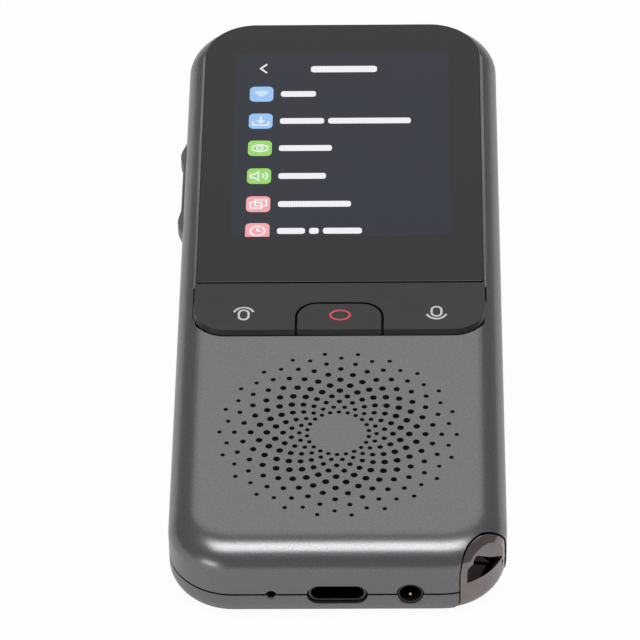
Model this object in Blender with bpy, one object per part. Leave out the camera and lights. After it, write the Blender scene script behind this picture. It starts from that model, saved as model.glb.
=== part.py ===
"""Handheld translator, lying on its back.

Metres, +Z up. The origin is the centre of the flat back face. +X is the right-hand side seen from
the front, +Y points to the screen end, and the screen, keys and speaker grille face +Z.
"""
import math

import bmesh
import bpy
from mathutils import Matrix, Vector

MM = 0.001

# Body outline and section
BODY_WIDTH = 53.2 * MM
BODY_LENGTH = 135.0 * MM
BODY_DEPTH = 14.0 * MM
BOTTOM_CORNER = 10.3 * MM
TOP_CORNER = 12.5 * MM
FRONT_FILLET_REACH = 5.5 * MM
FRONT_FILLET_DEPTH = 4.5 * MM
BACK_FILLET_REACH = 4.6 * MM
BACK_FILLET_DEPTH = 4.6 * MM
PARTING_HEIGHT = 5.7 * MM
SIDE_WALL = 1.5 * MM
FRONT_PLATE = 1.3 * MM
BACK_PLATE = 1.3 * MM

# Clearances and overruns
FIT_GAP = 0.3 * MM
SEAM_GAP = 0.3 * MM
OVERRUN = 2.0 * MM

# Screen glass and display module
GLASS_SIDE_MARGIN = 2.5 * MM
GLASS_THICKNESS = 1.0 * MM
GLASS_RISE = 0.6 * MM
GLASS_CORNER = 8.75 * MM
GLASS_TOP_MARGIN = 3.2 * MM
GLASS_BEVEL = 0.25 * MM
DISPLAY_SIDE_MARGIN = 2.75 * MM
DISPLAY_BOTTOM_MARGIN = 3.9 * MM
DISPLAY_THICKNESS = 2.0 * MM
DISPLAY_TOP_MARGIN = 3.6 * MM
DISPLAY_CORNER = 1.0 * MM
LEDGE_DEPTH = 2.4 * MM

# Front keys
BAR_FROM_END = 51.4 * MM
BAR_LENGTH = 12.3 * MM
BAR_THICKNESS = 1.7 * MM
BAR_CORNER = 5.25 * MM
BAR_BEVEL_REACH = 0.5 * MM
BAR_BEVEL_DEPTH = 0.7 * MM
CENTRE_KEY_WIDTH = 13.8 * MM
CENTRE_KEY_LENGTH = 6.9 * MM
CENTRE_KEY_CORNER = 3.3 * MM
CENTRE_KEY_GAP = 0.35 * MM
KEY_FLOOR = 0.7 * MM
MEMBRANE_THICKNESS = 0.4 * MM
MEMBRANE_MARGIN = 1.2 * MM
PRESS_POST_FROM_EDGE = 8.1 * MM
PRESS_POST_RADIUS = 1.3 * MM
PRESS_POST_LENGTH = 0.3 * MM
ROCK_RIB_WIDTH = 1.2 * MM
ROCK_RIB_LENGTH = 3.4 * MM

# Dome switches
SWITCH_SIDE = 3.2 * MM
SWITCH_BODY = 0.5 * MM
SWITCH_DOME_RADIUS = 1.0 * MM
SWITCH_DOME_RISE = 0.2 * MM

# Speaker and its grille
SPEAKER_FROM_END = 27.6 * MM
GRILLE_RINGS = 12
GRILLE_HOLES_PER_RING = 22
GRILLE_FIRST_RADIUS = 4.92 * MM
GRILLE_MARGIN = 1.11 * MM
GRILLE_TURN = math.radians(-1.24)
GRILLE_WIDEST_HOLE_SHARE = 0.913
GRILLE_INNER_SHARE = 0.66
GRILLE_OUTER_SHARE = 0.64
GRILLE_WIDEST_RING_SHARE = 0.45
GRILLE_HOLE_SIDES = 6
MESH_SIDE_ROOM = 5.1 * MM
MESH_THICKNESS = 0.3 * MM
RING_RIB_WALL = 0.9 * MM
RING_RIB_DEPTH = 1.4 * MM
GASKET_WALL = 1.8 * MM
GASKET_THICKNESS = 0.6 * MM
BASKET_STEP = 5.4 * MM
BASKET_FLANGE = 0.8 * MM
BASKET_DEPTH = 2.8 * MM
BASKET_TAPER = 5.1 * MM
BASKET_WALL = 0.9 * MM
BASKET_EAR_WIDTH = 5.0 * MM
SPEAKER_SCREW_FROM_WALL = 2.3 * MM
CONE_DEPTH = 1.5 * MM
CONE_THICKNESS = 0.4 * MM
CONE_CENTRE_RADIUS = 4.0 * MM
MAGNET_STEP = 1.3 * MM
MAGNET_THICKNESS = 2.6 * MM

# Screws and bosses
SCREW_RADIUS = 0.7 * MM
SCREW_HEAD_RADIUS = 1.35 * MM
SCREW_HEAD_HEIGHT = 0.7 * MM
SCREW_SLOT_WIDTH = 0.35 * MM
SCREW_SLOT_DEPTH = 0.3 * MM
BOSS_WALL = 0.9 * MM
SCREW_BITE = 1.5 * MM
FRAME_SCREW_FROM_EDGE = 3.3 * MM

# Inner frame, boards and battery
MIDFRAME_THICKNESS = 0.6 * MM
MIDFRAME_MARGIN = 0.5 * MM
BOARD_THICKNESS = 1.0 * MM
BOARD_BOTTOM_OVERHANG = 2.2 * MM
BOARD_CORNER = 2.0 * MM
CAN_WIDTH = 26.0 * MM
CAN_LENGTH = 22.0 * MM
CAN_HEIGHT = 1.4 * MM
BATTERY_SIDE_ROOM = 7.1 * MM
BATTERY_LENGTH = 56.0 * MM
BATTERY_CORNER = 1.6 * MM
ANTENNA_MARGIN = 3.0 * MM
ANTENNA_LENGTH = 5.0 * MM
ANTENNA_THICKNESS = 0.4 * MM
SNAP_LENGTH = 3.0 * MM
SNAP_WALL = 1.0 * MM
SNAP_RISE = 1.8 * MM
SNAP_FROM_BOTTOM = 18.9 * MM
SNAP_BELOW_ROCKER = 11.0 * MM
SNAP_FROM_TOP = 13.0 * MM

# Side keys on the left
SIDE_KEY_HEIGHT = 2.8 * MM
SIDE_KEY_ABOVE_PARTING = 0.4 * MM
ROCKER_LENGTH = 24.7 * MM
ROCKER_FROM_TOP = 40.55 * MM
ROCKER_RISE = 0.5 * MM
ROCKER_BUMP_RISE = 1.0 * MM
ROCKER_BUMP_SPACING = 17.2 * MM
ROCKER_BUMP_LENGTH = 6.6 * MM
ROCKER_STEPS = 24
POWER_LENGTH = 4.8 * MM
POWER_FROM_TOP = 18.1 * MM
POWER_SINK = 0.25 * MM
SIDE_FLANGE = 0.8 * MM
SIDE_FLANGE_LIP = 0.9 * MM
SIDE_NUB_LENGTH = 0.3 * MM
SIDE_NUB_RADIUS = 0.8 * MM
SIDE_SWITCH_SPACING = 17.2 * MM
SIDE_SWITCH_SIDE = 2.2 * MM
SIDE_SWITCH_BODY = 0.7 * MM
SIDE_BOARD_THICKNESS = 0.6 * MM
SIDE_BOARD_HEIGHT = 3.8 * MM
SIDE_BOARD_MARGIN = 1.5 * MM

# Sockets at the bottom end
USB_WIDTH = 8.94 * MM
USB_HEIGHT = 3.26 * MM
USB_LENGTH = 7.35 * MM
USB_WALL = 0.3 * MM
USB_RECESS = 0.25 * MM
TONGUE_WIDTH = 6.2 * MM
TONGUE_THICKNESS = 0.7 * MM
TONGUE_LENGTH = 4.5 * MM
TONGUE_BASE = 1.4 * MM
USB_GASKET_MARGIN = 1.4 * MM
USB_GASKET_THICKNESS = 1.2 * MM
JACK_FROM_SIDE = 15.2 * MM
JACK_HOLE_RADIUS = 2.0 * MM
JACK_BORE_RADIUS = 1.75 * MM
JACK_WIDTH = 6.0 * MM
JACK_HEIGHT = 4.9 * MM
JACK_LENGTH = 12.0 * MM
JACK_BACK_WALL = 1.2 * MM
CONTACT_WIDTH = 1.0 * MM
CONTACT_THICKNESS = 0.3 * MM
CONTACT_LENGTH = 7.0 * MM
MIC_OFFSET = 10.1 * MM
MIC_HOLE_RADIUS = 0.6 * MM
MIC_RADIUS = 1.0 * MM
MIC_LENGTH = 1.4 * MM
MIC_BOOT_WALL = 0.7 * MM
MIC_BOOT_FACE = 0.8 * MM
DOCK_THICKNESS = 0.8 * MM
DOCK_SIDE_ROOM = 7.6 * MM
DOCK_LENGTH = 11.5 * MM
DOCK_SCREW_MARGIN = 2.0 * MM
DOCK_SETBACK = 0.8 * MM
JACK_REST_WIDTH = 3.0 * MM

# Lanyard bracket in the lower right corner
BRACKET_HALF_WIDTH = 5.1 * MM
BRACKET_TOP = 13.2 * MM
BRACKET_INNER = 3.6 * MM
BRACKET_SINK = 0.15 * MM
ARCH_PEAK_SHIFT = 0.5 * MM
ARCH_SPRING_END = 8.3 * MM
ARCH_SPRING_SIDE = 6.3 * MM
ARCH_END_POWER = 2.6
ARCH_SIDE_POWER = 1.75
SCOOP_LOW = 4.0 * MM
SCOOP_REACH = 3.3 * MM
BRACKET_RIM = 1.1 * MM
BAR_POST_HEIGHT = 7.0 * MM
BAR_POST_THICKNESS = 2.3 * MM
BRACKET_BACK_WALL = 1.0 * MM
TAB_LENGTH = 3.8 * MM
TAB_WIDTH = 3.8 * MM
TAB_THICKNESS = 1.2 * MM
TAB_HEIGHT = 3.2 * MM

# Facets
CORNER_STEPS = 9
FILLET_STEPS = 5
ROUND_STEPS = 28
SMALL_ROUND_STEPS = 14
STADIUM_STEPS = 8
ARCH_STEPS = 20
SCOOP_STEPS = 6

# Places worked out from the sizes above
SIDE = BODY_WIDTH / 2
BOTTOM = -BODY_LENGTH / 2
TOP = BODY_LENGTH / 2
GLASS_TOP = TOP - GLASS_TOP_MARGIN
GLASS_WIDTH = BODY_WIDTH - 2 * GLASS_SIDE_MARGIN
BAR_BOTTOM = BOTTOM + BAR_FROM_END
BAR_TOP = BAR_BOTTOM + BAR_LENGTH
GLASS_BOTTOM = BAR_TOP + FIT_GAP
SIDE_KEY_REACH = GLASS_WIDTH / 2 - PRESS_POST_FROM_EDGE
FACE = BODY_DEPTH + GLASS_RISE
LEDGE = FACE - GLASS_THICKNESS - FIT_GAP
LEDGE_UNDERSIDE = LEDGE - LEDGE_DEPTH
KEY_POCKET = LEDGE_UNDERSIDE + KEY_FLOOR
MEMBRANE_BOTTOM = KEY_POCKET + FIT_GAP
MEMBRANE_TOP = MEMBRANE_BOTTOM + MEMBRANE_THICKNESS
BAR_UNDERSIDE = FACE - BAR_THICKNESS
DISPLAY_TOP = GLASS_TOP - DISPLAY_TOP_MARGIN
DISPLAY_BOTTOM = GLASS_BOTTOM + DISPLAY_BOTTOM_MARGIN
DISPLAY_WIDTH = GLASS_WIDTH - 2 * DISPLAY_SIDE_MARGIN
MIDFRAME_TOP = LEDGE_UNDERSIDE - FIT_GAP
MIDFRAME_UNDERSIDE = MIDFRAME_TOP - MIDFRAME_THICKNESS
BOARD_TOP = MIDFRAME_UNDERSIDE - FIT_GAP
BOARD_UNDERSIDE = BOARD_TOP - BOARD_THICKNESS
SWITCH_BASE = BOARD_TOP + FIT_GAP
POST_END = SWITCH_BASE + SWITCH_BODY + SWITCH_DOME_RISE + FIT_GAP
CAN_UNDERSIDE = BOARD_UNDERSIDE - FIT_GAP - CAN_HEIGHT
BATTERY_UNDERSIDE = BACK_PLATE + FIT_GAP
BATTERY_TOP = CAN_UNDERSIDE - FIT_GAP
INNER_SIDE = SIDE - SIDE_WALL
INNER_BOTTOM = BOTTOM + SIDE_WALL
BATTERY_WIDTH = 2 * (INNER_SIDE - BATTERY_SIDE_ROOM)
ANTENNA_WIDTH = BATTERY_WIDTH - 2 * ANTENNA_MARGIN
PLATE_UNDERSIDE = BODY_DEPTH - FRONT_PLATE
SPEAKER_Y = BOTTOM + SPEAKER_FROM_END
MESH_RADIUS = INNER_SIDE - MESH_SIDE_ROOM
GRILLE_RING_PITCH = (MESH_RADIUS - GRILLE_MARGIN - GRILLE_FIRST_RADIUS) / (GRILLE_RINGS - 1)
GRILLE_WIDEST_HOLE = GRILLE_RING_PITCH * GRILLE_WIDEST_HOLE_SHARE
BASKET_RADIUS = MESH_RADIUS - BASKET_STEP
BASKET_BACK_RADIUS = BASKET_RADIUS - BASKET_TAPER
MAGNET_RADIUS = BASKET_BACK_RADIUS - MAGNET_STEP
MESH_TOP = PLATE_UNDERSIDE - FIT_GAP
GASKET_TOP = MESH_TOP - MESH_THICKNESS - FIT_GAP
BASKET_TOP = GASKET_TOP - GASKET_THICKNESS - FIT_GAP
SPEAKER_SCREW_X = INNER_SIDE - SPEAKER_SCREW_FROM_WALL
SCREW_HOLE = SCREW_RADIUS + FIT_GAP
SIDE_KEY_LOW = PARTING_HEIGHT + SIDE_KEY_ABOVE_PARTING
SIDE_KEY_MID = SIDE_KEY_LOW + SIDE_KEY_HEIGHT / 2
ROCKER_Y = TOP - ROCKER_FROM_TOP
POWER_Y = TOP - POWER_FROM_TOP
SNAP_PLACES = (BOTTOM + SNAP_FROM_BOTTOM, ROCKER_Y - ROCKER_LENGTH / 2 - SNAP_BELOW_ROCKER,
               TOP - SNAP_FROM_TOP)
FLANGE_OUTER = INNER_SIDE - FIT_GAP
FLANGE_INNER = FLANGE_OUTER - SIDE_FLANGE
NUB_END = FLANGE_INNER - SIDE_NUB_LENGTH
SIDE_SWITCH_FACE = NUB_END - FIT_GAP
SIDE_BOARD_FACE = SIDE_SWITCH_FACE - SWITCH_DOME_RISE - SIDE_SWITCH_BODY - FIT_GAP
SOCKET_HEIGHT = PARTING_HEIGHT
DOCK_TOP = SOCKET_HEIGHT - USB_HEIGHT / 2 - FIT_GAP
DOCK_UNDERSIDE = DOCK_TOP - DOCK_THICKNESS
DOCK_FRONT = INNER_BOTTOM + DOCK_SETBACK
DOCK_LEFT = INNER_SIDE - DOCK_SIDE_ROOM
JACK_OFFSET = SIDE - JACK_FROM_SIDE
DOCK_RIGHT = JACK_OFFSET - JACK_WIDTH / 2 - FIT_GAP
CORNER_X = SIDE - BOTTOM_CORNER
CORNER_Y = BOTTOM + BOTTOM_CORNER


def clear_scene():
    """Remove every object that the scene starts with."""
    for item in list(bpy.data.objects):
        bpy.data.objects.remove(item)


def material(name, colour, roughness, metallic=0.0):
    """Return a Principled material."""
    made = bpy.data.materials.new(name)
    made.use_nodes = True
    shader = made.node_tree.nodes["Principled BSDF"]
    shader.inputs["Base Color"].default_value = (*colour, 1.0)
    shader.inputs["Roughness"].default_value = roughness
    shader.inputs["Metallic"].default_value = metallic
    return made


def place(name, mesh_data, finish=None):
    """Turn a bmesh into a named object."""
    bmesh.ops.recalc_face_normals(mesh_data, faces=mesh_data.faces)
    mesh = bpy.data.meshes.new(name)
    mesh_data.to_mesh(mesh)
    mesh_data.free()
    item = bpy.data.objects.new(name, mesh)
    bpy.context.collection.objects.link(item)
    if finish is not None:
        item.data.materials.append(finish)
    return item


def loft(name, rings, finish=None):
    """Build a closed solid through rings of (points, height), all with the same count of points."""
    mesh_data = bmesh.new()
    loops = [[mesh_data.verts.new((x, y, height)) for x, y in points] for points, height in rings]
    for low, high in zip(loops, loops[1:]):
        count = len(low)
        for index in range(count):
            after = (index + 1) % count
            mesh_data.faces.new((low[index], low[after], high[after], high[index]))
    mesh_data.faces.new(list(reversed(loops[0])))
    mesh_data.faces.new(loops[-1])
    return place(name, mesh_data, finish)


def block(name, low, high, finish=None):
    """Build a box between two corners."""
    (x0, y0, z0), (x1, y1, z1) = low, high
    return loft(name, [(((x0, y0), (x1, y0), (x1, y1), (x0, y1)), level) for level in (z0, z1)], finish)


def circle(radius, centre=(0.0, 0.0), steps=ROUND_STEPS):
    """Return the points of a circle."""
    turn = 2 * math.pi / steps
    return [(centre[0] + radius * math.cos(turn * step), centre[1] + radius * math.sin(turn * step))
            for step in range(steps)]


def drum(name, centre, profile, finish=None, steps=ROUND_STEPS):
    """Build a turned solid on a vertical axis through (radius, height) pairs."""
    return loft(name, [(circle(radius, centre, steps), height) for radius, height in profile], finish)


def rounded(half_width, low, high, low_radius, high_radius, steps=CORNER_STEPS):
    """Return a rounded rectangle, mirrored about x = 0, with its own corner radius at each end."""
    points = []
    corners = ((1, low, low_radius, -1), (1, high, high_radius, 0),
               (-1, high, high_radius, 1), (-1, low, low_radius, 2))
    for side, end, radius, start in corners:
        centre_x = side * (half_width - radius)
        centre_y = end + radius if end == low else end - radius
        for step in range(steps + 1):
            angle = math.pi / 2 * (start + step / steps)
            points.append((centre_x + radius * math.cos(angle), centre_y + radius * math.sin(angle)))
    return points


def stadium(half_width, half_height, steps=STADIUM_STEPS):
    """Return a slot with round ends."""
    points = []
    for side, start in ((1, -1), (-1, 1)):
        for step in range(steps + 1):
            angle = math.pi / 2 * (start + 2 * step / steps)
            points.append((side * (half_width - half_height) + half_height * math.cos(angle),
                           half_height * math.sin(angle)))
    return points


def combine(item, other, operation):
    """Apply a boolean with another object, which is used up."""
    step = item.modifiers.new(operation, "BOOLEAN")
    step.operation = operation
    step.solver = "EXACT"
    step.object = other
    bpy.context.view_layer.update()
    made = bpy.data.meshes.new_from_object(item.evaluated_get(bpy.context.evaluated_depsgraph_get()))
    item.modifiers.remove(step)
    before = item.data
    item.data = made
    bpy.data.meshes.remove(before)
    bpy.data.objects.remove(other)
    return item


def cut(item, *cutters):
    """Cut each cutter out of an object."""
    for cutter in cutters:
        combine(item, cutter, "DIFFERENCE")
    return item


def weld(item, *others):
    """Join solids into an object."""
    for other in others:
        combine(item, other, "UNION")
    return item


def swing(item, matrix):
    """Bake a transform into an object's mesh."""
    item.data.transform(matrix)
    if matrix.determinant() < 0:
        item.data.flip_normals()
    return item


def set_origin(item, origin):
    """Move an object's origin to a place, and leave its mesh where it is."""
    item.data.transform(Matrix.Translation(item.location - Vector(origin)))
    item.location = origin
    return item


def smooth(item, angle=math.radians(40)):
    """Shade an object smooth, with its sharp edges kept."""
    item.data.shade_smooth()
    item.data.set_sharp_from_angle(angle=angle)
    return item


def facing_end(item, x, y, height):
    """Turn a solid built upwards so that its axis runs along +Y, and move it to its place."""
    turn = Matrix(((1, 0, 0), (0, 0, 1), (0, 1, 0))).to_4x4()
    return swing(item, Matrix.Translation((x, y, height)) @ turn)


def facing_side(item, x, y, height):
    """Turn a solid built upwards so that its axis runs along -X, and move it to its place."""
    turn = Matrix(((0, 0, -1), (1, 0, 0), (0, 1, 0))).to_4x4()
    return swing(item, Matrix.Translation((x, y, height)) @ turn)


def to_corner(item):
    """Turn a solid built about the X axis outwards through the lower right corner."""
    turn = Matrix.Rotation(math.radians(-45), 4, "Z")
    return swing(item, Matrix.Translation((CORNER_X, CORNER_Y, 0)) @ turn)


def body_inset(height, shrink):
    """Return how far the body's side lies inside its widest outline at a height."""
    back_depth = BACK_FILLET_DEPTH - shrink
    front_depth = FRONT_FILLET_DEPTH - shrink
    back_start = BACK_FILLET_DEPTH
    front_start = BODY_DEPTH - FRONT_FILLET_DEPTH
    if height < back_start:
        share = min((back_start - height) / back_depth, 1.0)
        return (BACK_FILLET_REACH - shrink) * (1 - math.sqrt(1 - share * share))
    if height > front_start:
        share = min((height - front_start) / front_depth, 1.0)
        return (FRONT_FILLET_REACH - shrink) * (1 - math.sqrt(1 - share * share))
    return 0.0


def body_form(name, low, high, shrink=0.0, finish=None):
    """Build the body's rounded form between two heights, shrunk on every side by one amount."""
    levels = {low, high}
    for step in range(FILLET_STEPS + 1):
        angle = math.pi / 2 * step / FILLET_STEPS
        levels.add(BACK_FILLET_DEPTH - (BACK_FILLET_DEPTH - shrink) * math.cos(angle))
        front_start = BODY_DEPTH - FRONT_FILLET_DEPTH
        levels.add(front_start + (FRONT_FILLET_DEPTH - shrink) * math.cos(angle))
    rings = []
    for level in sorted(value for value in levels if low <= value <= high):
        inset = shrink + body_inset(level, shrink)
        outline = rounded(SIDE - inset, BOTTOM + inset, TOP - inset,
                          BOTTOM_CORNER - inset, TOP_CORNER - inset)
        rings.append((outline, level))
    return loft(name, rings, finish)


def island(name, gap, low, high, end=None):
    """Build the outline that the glass and the key bar fill together, widened by a gap."""
    top = GLASS_TOP + gap if end is None else end
    corner = GLASS_CORNER + gap if end is None else FIT_GAP
    outline = rounded(GLASS_WIDTH / 2 + gap, BAR_BOTTOM - gap, top, BAR_CORNER + gap, corner)
    return loft(name, [(outline, low), (outline, high)])


def arch_form(name, half_width, crown, inner, outer):
    """Build the corner bracket's arch, extruded outwards along +X from one distance to another.

    The crown is lopsided: full on the side of the bottom end, and sloping on the other side.
    """
    outline = [(half_width, -OVERRUN), (-half_width, -OVERRUN)]
    for step in range(ARCH_STEPS + 1):
        across = -math.cos(math.pi * step / ARCH_STEPS)
        at_end = across < 0
        power = ARCH_END_POWER if at_end else ARCH_SIDE_POWER
        spring = ARCH_SPRING_END if at_end else ARCH_SPRING_SIDE
        reach = half_width - ARCH_PEAK_SHIFT if at_end else half_width + ARCH_PEAK_SHIFT
        rise = math.sqrt(max(1 - across * across, 0.0)) ** (2 / power)
        out = math.copysign(abs(across) ** (2 / power), across)
        outline.append((reach * out - ARCH_PEAK_SHIFT, spring + (crown - spring) * rise))
    made = loft(name, [(outline, inner), (outline, outer)])
    upright = Matrix(((0, 0, 1), (1, 0, 0), (0, 1, 0))).to_4x4()
    return swing(made, upright)


def scoop(half_width):
    """Build the back wall that the bracket's window keeps: it leans outwards towards the crown."""
    rings = []
    for step in range(SCOOP_STEPS + 1):
        share = step / SCOOP_STEPS
        wall = BRACKET_INNER + BRACKET_BACK_WALL + SCOOP_REACH * share * share
        corners = ((0.0, -half_width), (wall, -half_width), (wall, half_width), (0.0, half_width))
        rings.append((corners, SCOOP_LOW + (BRACKET_TOP - SCOOP_LOW) * share))
    return loft("scoop", rings)


def corner_cutter(name):
    """Build the cut in both shells that the corner bracket fills."""
    inner = BRACKET_INNER - FIT_GAP
    reach = BOTTOM_CORNER + OVERRUN
    return to_corner(arch_form(name, BRACKET_HALF_WIDTH, BRACKET_TOP, inner, reach))


def grille_hole_radius(ring):
    """Return the hole radius of a grille ring: widest between the middle and the rim."""
    place_share = ring / (GRILLE_RINGS - 1)
    if place_share < GRILLE_WIDEST_RING_SHARE:
        lead = place_share / GRILLE_WIDEST_RING_SHARE
        return GRILLE_WIDEST_HOLE / 2 * (GRILLE_INNER_SHARE + (1 - GRILLE_INNER_SHARE) * lead)
    fade = (place_share - GRILLE_WIDEST_RING_SHARE) / (1 - GRILLE_WIDEST_RING_SHARE)
    return GRILLE_WIDEST_HOLE / 2 * (1 - (1 - GRILLE_OUTER_SHARE) * fade)


def grille_cutter():
    """Build every grille hole as one cutter, each ring turned half a step from the last."""
    mesh_data = bmesh.new()
    pitch = 2 * math.pi / GRILLE_HOLES_PER_RING
    for ring in range(GRILLE_RINGS):
        radius = GRILLE_FIRST_RADIUS + GRILLE_RING_PITCH * ring
        for index in range(GRILLE_HOLES_PER_RING):
            angle = GRILLE_TURN + pitch * (index + ((ring + 1) % 2) / 2)
            middle = Vector((radius * math.cos(angle), SPEAKER_Y + radius * math.sin(angle),
                             BODY_DEPTH - FRONT_PLATE / 2))
            bmesh.ops.create_cone(
                mesh_data, cap_ends=True, segments=GRILLE_HOLE_SIDES, radius1=grille_hole_radius(ring),
                radius2=grille_hole_radius(ring), depth=FRONT_PLATE + OVERRUN,
                matrix=Matrix.Translation(middle) @ Matrix.Rotation(angle, 4, "Z"))
    return place("grille_cutter", mesh_data)


def inside_skin(item):
    """Trim a solid so that it ends inside the thickness of the body's wall."""
    return combine(item, body_form("skin", 0.0, BODY_DEPTH, SIDE_WALL / 2), "INTERSECT")


def boss(name, x, y, low, high):
    """Build a screw boss that stands on a shell."""
    radius = SCREW_HOLE + BOSS_WALL
    return inside_skin(drum(name, (x, y), ((radius, low), (radius, high)), steps=SMALL_ROUND_STEPS))


def bore(name, x, y, low, high, radius=SCREW_HOLE, steps=SMALL_ROUND_STEPS):
    """Build a plain upright cylinder, such as the cutter for a screw hole."""
    return drum(name, (x, y), ((radius, low), (radius, high)), steps=steps)


def screw(name, x, y, seat, length, finish, downwards=False):
    """Build a slotted screw driven upwards from under its seat height, or downwards from above it."""
    base = seat - FIT_GAP - SCREW_HEAD_HEIGHT
    item = drum(name, (x, y), (
        (SCREW_HEAD_RADIUS, base), (SCREW_HEAD_RADIUS, base + SCREW_HEAD_HEIGHT),
        (SCREW_RADIUS, base + SCREW_HEAD_HEIGHT), (SCREW_RADIUS, base + SCREW_HEAD_HEIGHT + length)),
        finish, steps=SMALL_ROUND_STEPS)
    slot = block("slot", (x - SCREW_SLOT_WIDTH / 2, y - SCREW_HEAD_RADIUS - OVERRUN, base - OVERRUN),
                 (x + SCREW_SLOT_WIDTH / 2, y + SCREW_HEAD_RADIUS + OVERRUN, base + SCREW_SLOT_DEPTH))
    cut(item, slot)
    if downwards:
        swing(item, Matrix.Translation((0, 0, 2 * seat)) @ Matrix.Scale(-1, 4, (0, 0, 1)))
    return smooth(item)


def frame_screw_places():
    """Return the names and places of the four screws that hold the frame and the main board."""
    across = INNER_SIDE - FRAME_SCREW_FROM_EDGE + SCREW_HOLE
    low = GLASS_BOTTOM + FRAME_SCREW_FROM_EDGE - SCREW_HOLE
    high = GLASS_TOP - GLASS_CORNER
    return {"frame_screw_lower_left": (-across, low), "frame_screw_lower_right": (across, low),
            "frame_screw_upper_left": (-across, high), "frame_screw_upper_right": (across, high)}


def speaker_screw_places():
    """Return the names and places of the two speaker screws."""
    return {"speaker_screw_left": (-SPEAKER_SCREW_X, SPEAKER_Y),
            "speaker_screw_right": (SPEAKER_SCREW_X, SPEAKER_Y)}


def dock_screw_places():
    """Return the names and places of the two screws of the socket board."""
    back = DOCK_FRONT + DOCK_LENGTH - DOCK_SCREW_MARGIN
    return {"dock_screw_left": (DOCK_SCREW_MARGIN - DOCK_LEFT, back),
            "dock_screw_right": (DOCK_RIGHT - DOCK_SCREW_MARGIN, back)}


def bracket_screw_place():
    """Return the place of the bracket's screw, on the corner's diagonal."""
    along = (BRACKET_INNER - TAB_LENGTH / 2) / math.sqrt(2)
    return CORNER_X + along, CORNER_Y - along


def press_places():
    """Return the three places where the front keys press on the membrane."""
    middle = (BAR_TOP + BAR_BOTTOM) / 2
    centre = BAR_BOTTOM + CENTRE_KEY_LENGTH / 2
    return {"left": (-SIDE_KEY_REACH, middle), "centre": (0.0, centre), "right": (SIDE_KEY_REACH, middle)}


def socket_cutters():
    """Build the cuts for the three openings on the seam at the bottom end."""
    start = BOTTOM - OVERRUN
    end = INNER_BOTTOM + OVERRUN
    slot = stadium(USB_WIDTH / 2 + FIT_GAP, USB_HEIGHT / 2 + FIT_GAP)
    usb = facing_end(loft("usb_cut", [(slot, 0.0), (slot, end - start)]), 0.0, start, SOCKET_HEIGHT)
    jack = drum("jack_cut", (0.0, 0.0), ((JACK_HOLE_RADIUS, 0.0), (JACK_HOLE_RADIUS, end - start)),
                steps=2 * SMALL_ROUND_STEPS)
    mic = drum("mic_cut", (0.0, 0.0), ((MIC_HOLE_RADIUS, 0.0), (MIC_HOLE_RADIUS, end - start)),
               steps=SMALL_ROUND_STEPS)
    return (usb, facing_end(jack, JACK_OFFSET, start, SOCKET_HEIGHT),
            facing_end(mic, -MIC_OFFSET, start, SOCKET_HEIGHT))


def side_key_cutter(name, centre, length):
    """Build the opening for a side key, from the seam up to just above the key."""
    return block(name, (-SIDE - OVERRUN, centre - length / 2 - FIT_GAP, PARTING_HEIGHT - OVERRUN),
                 (-INNER_SIDE + OVERRUN / 2, centre + length / 2 + FIT_GAP,
                  SIDE_KEY_LOW + SIDE_KEY_HEIGHT + FIT_GAP))


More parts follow.
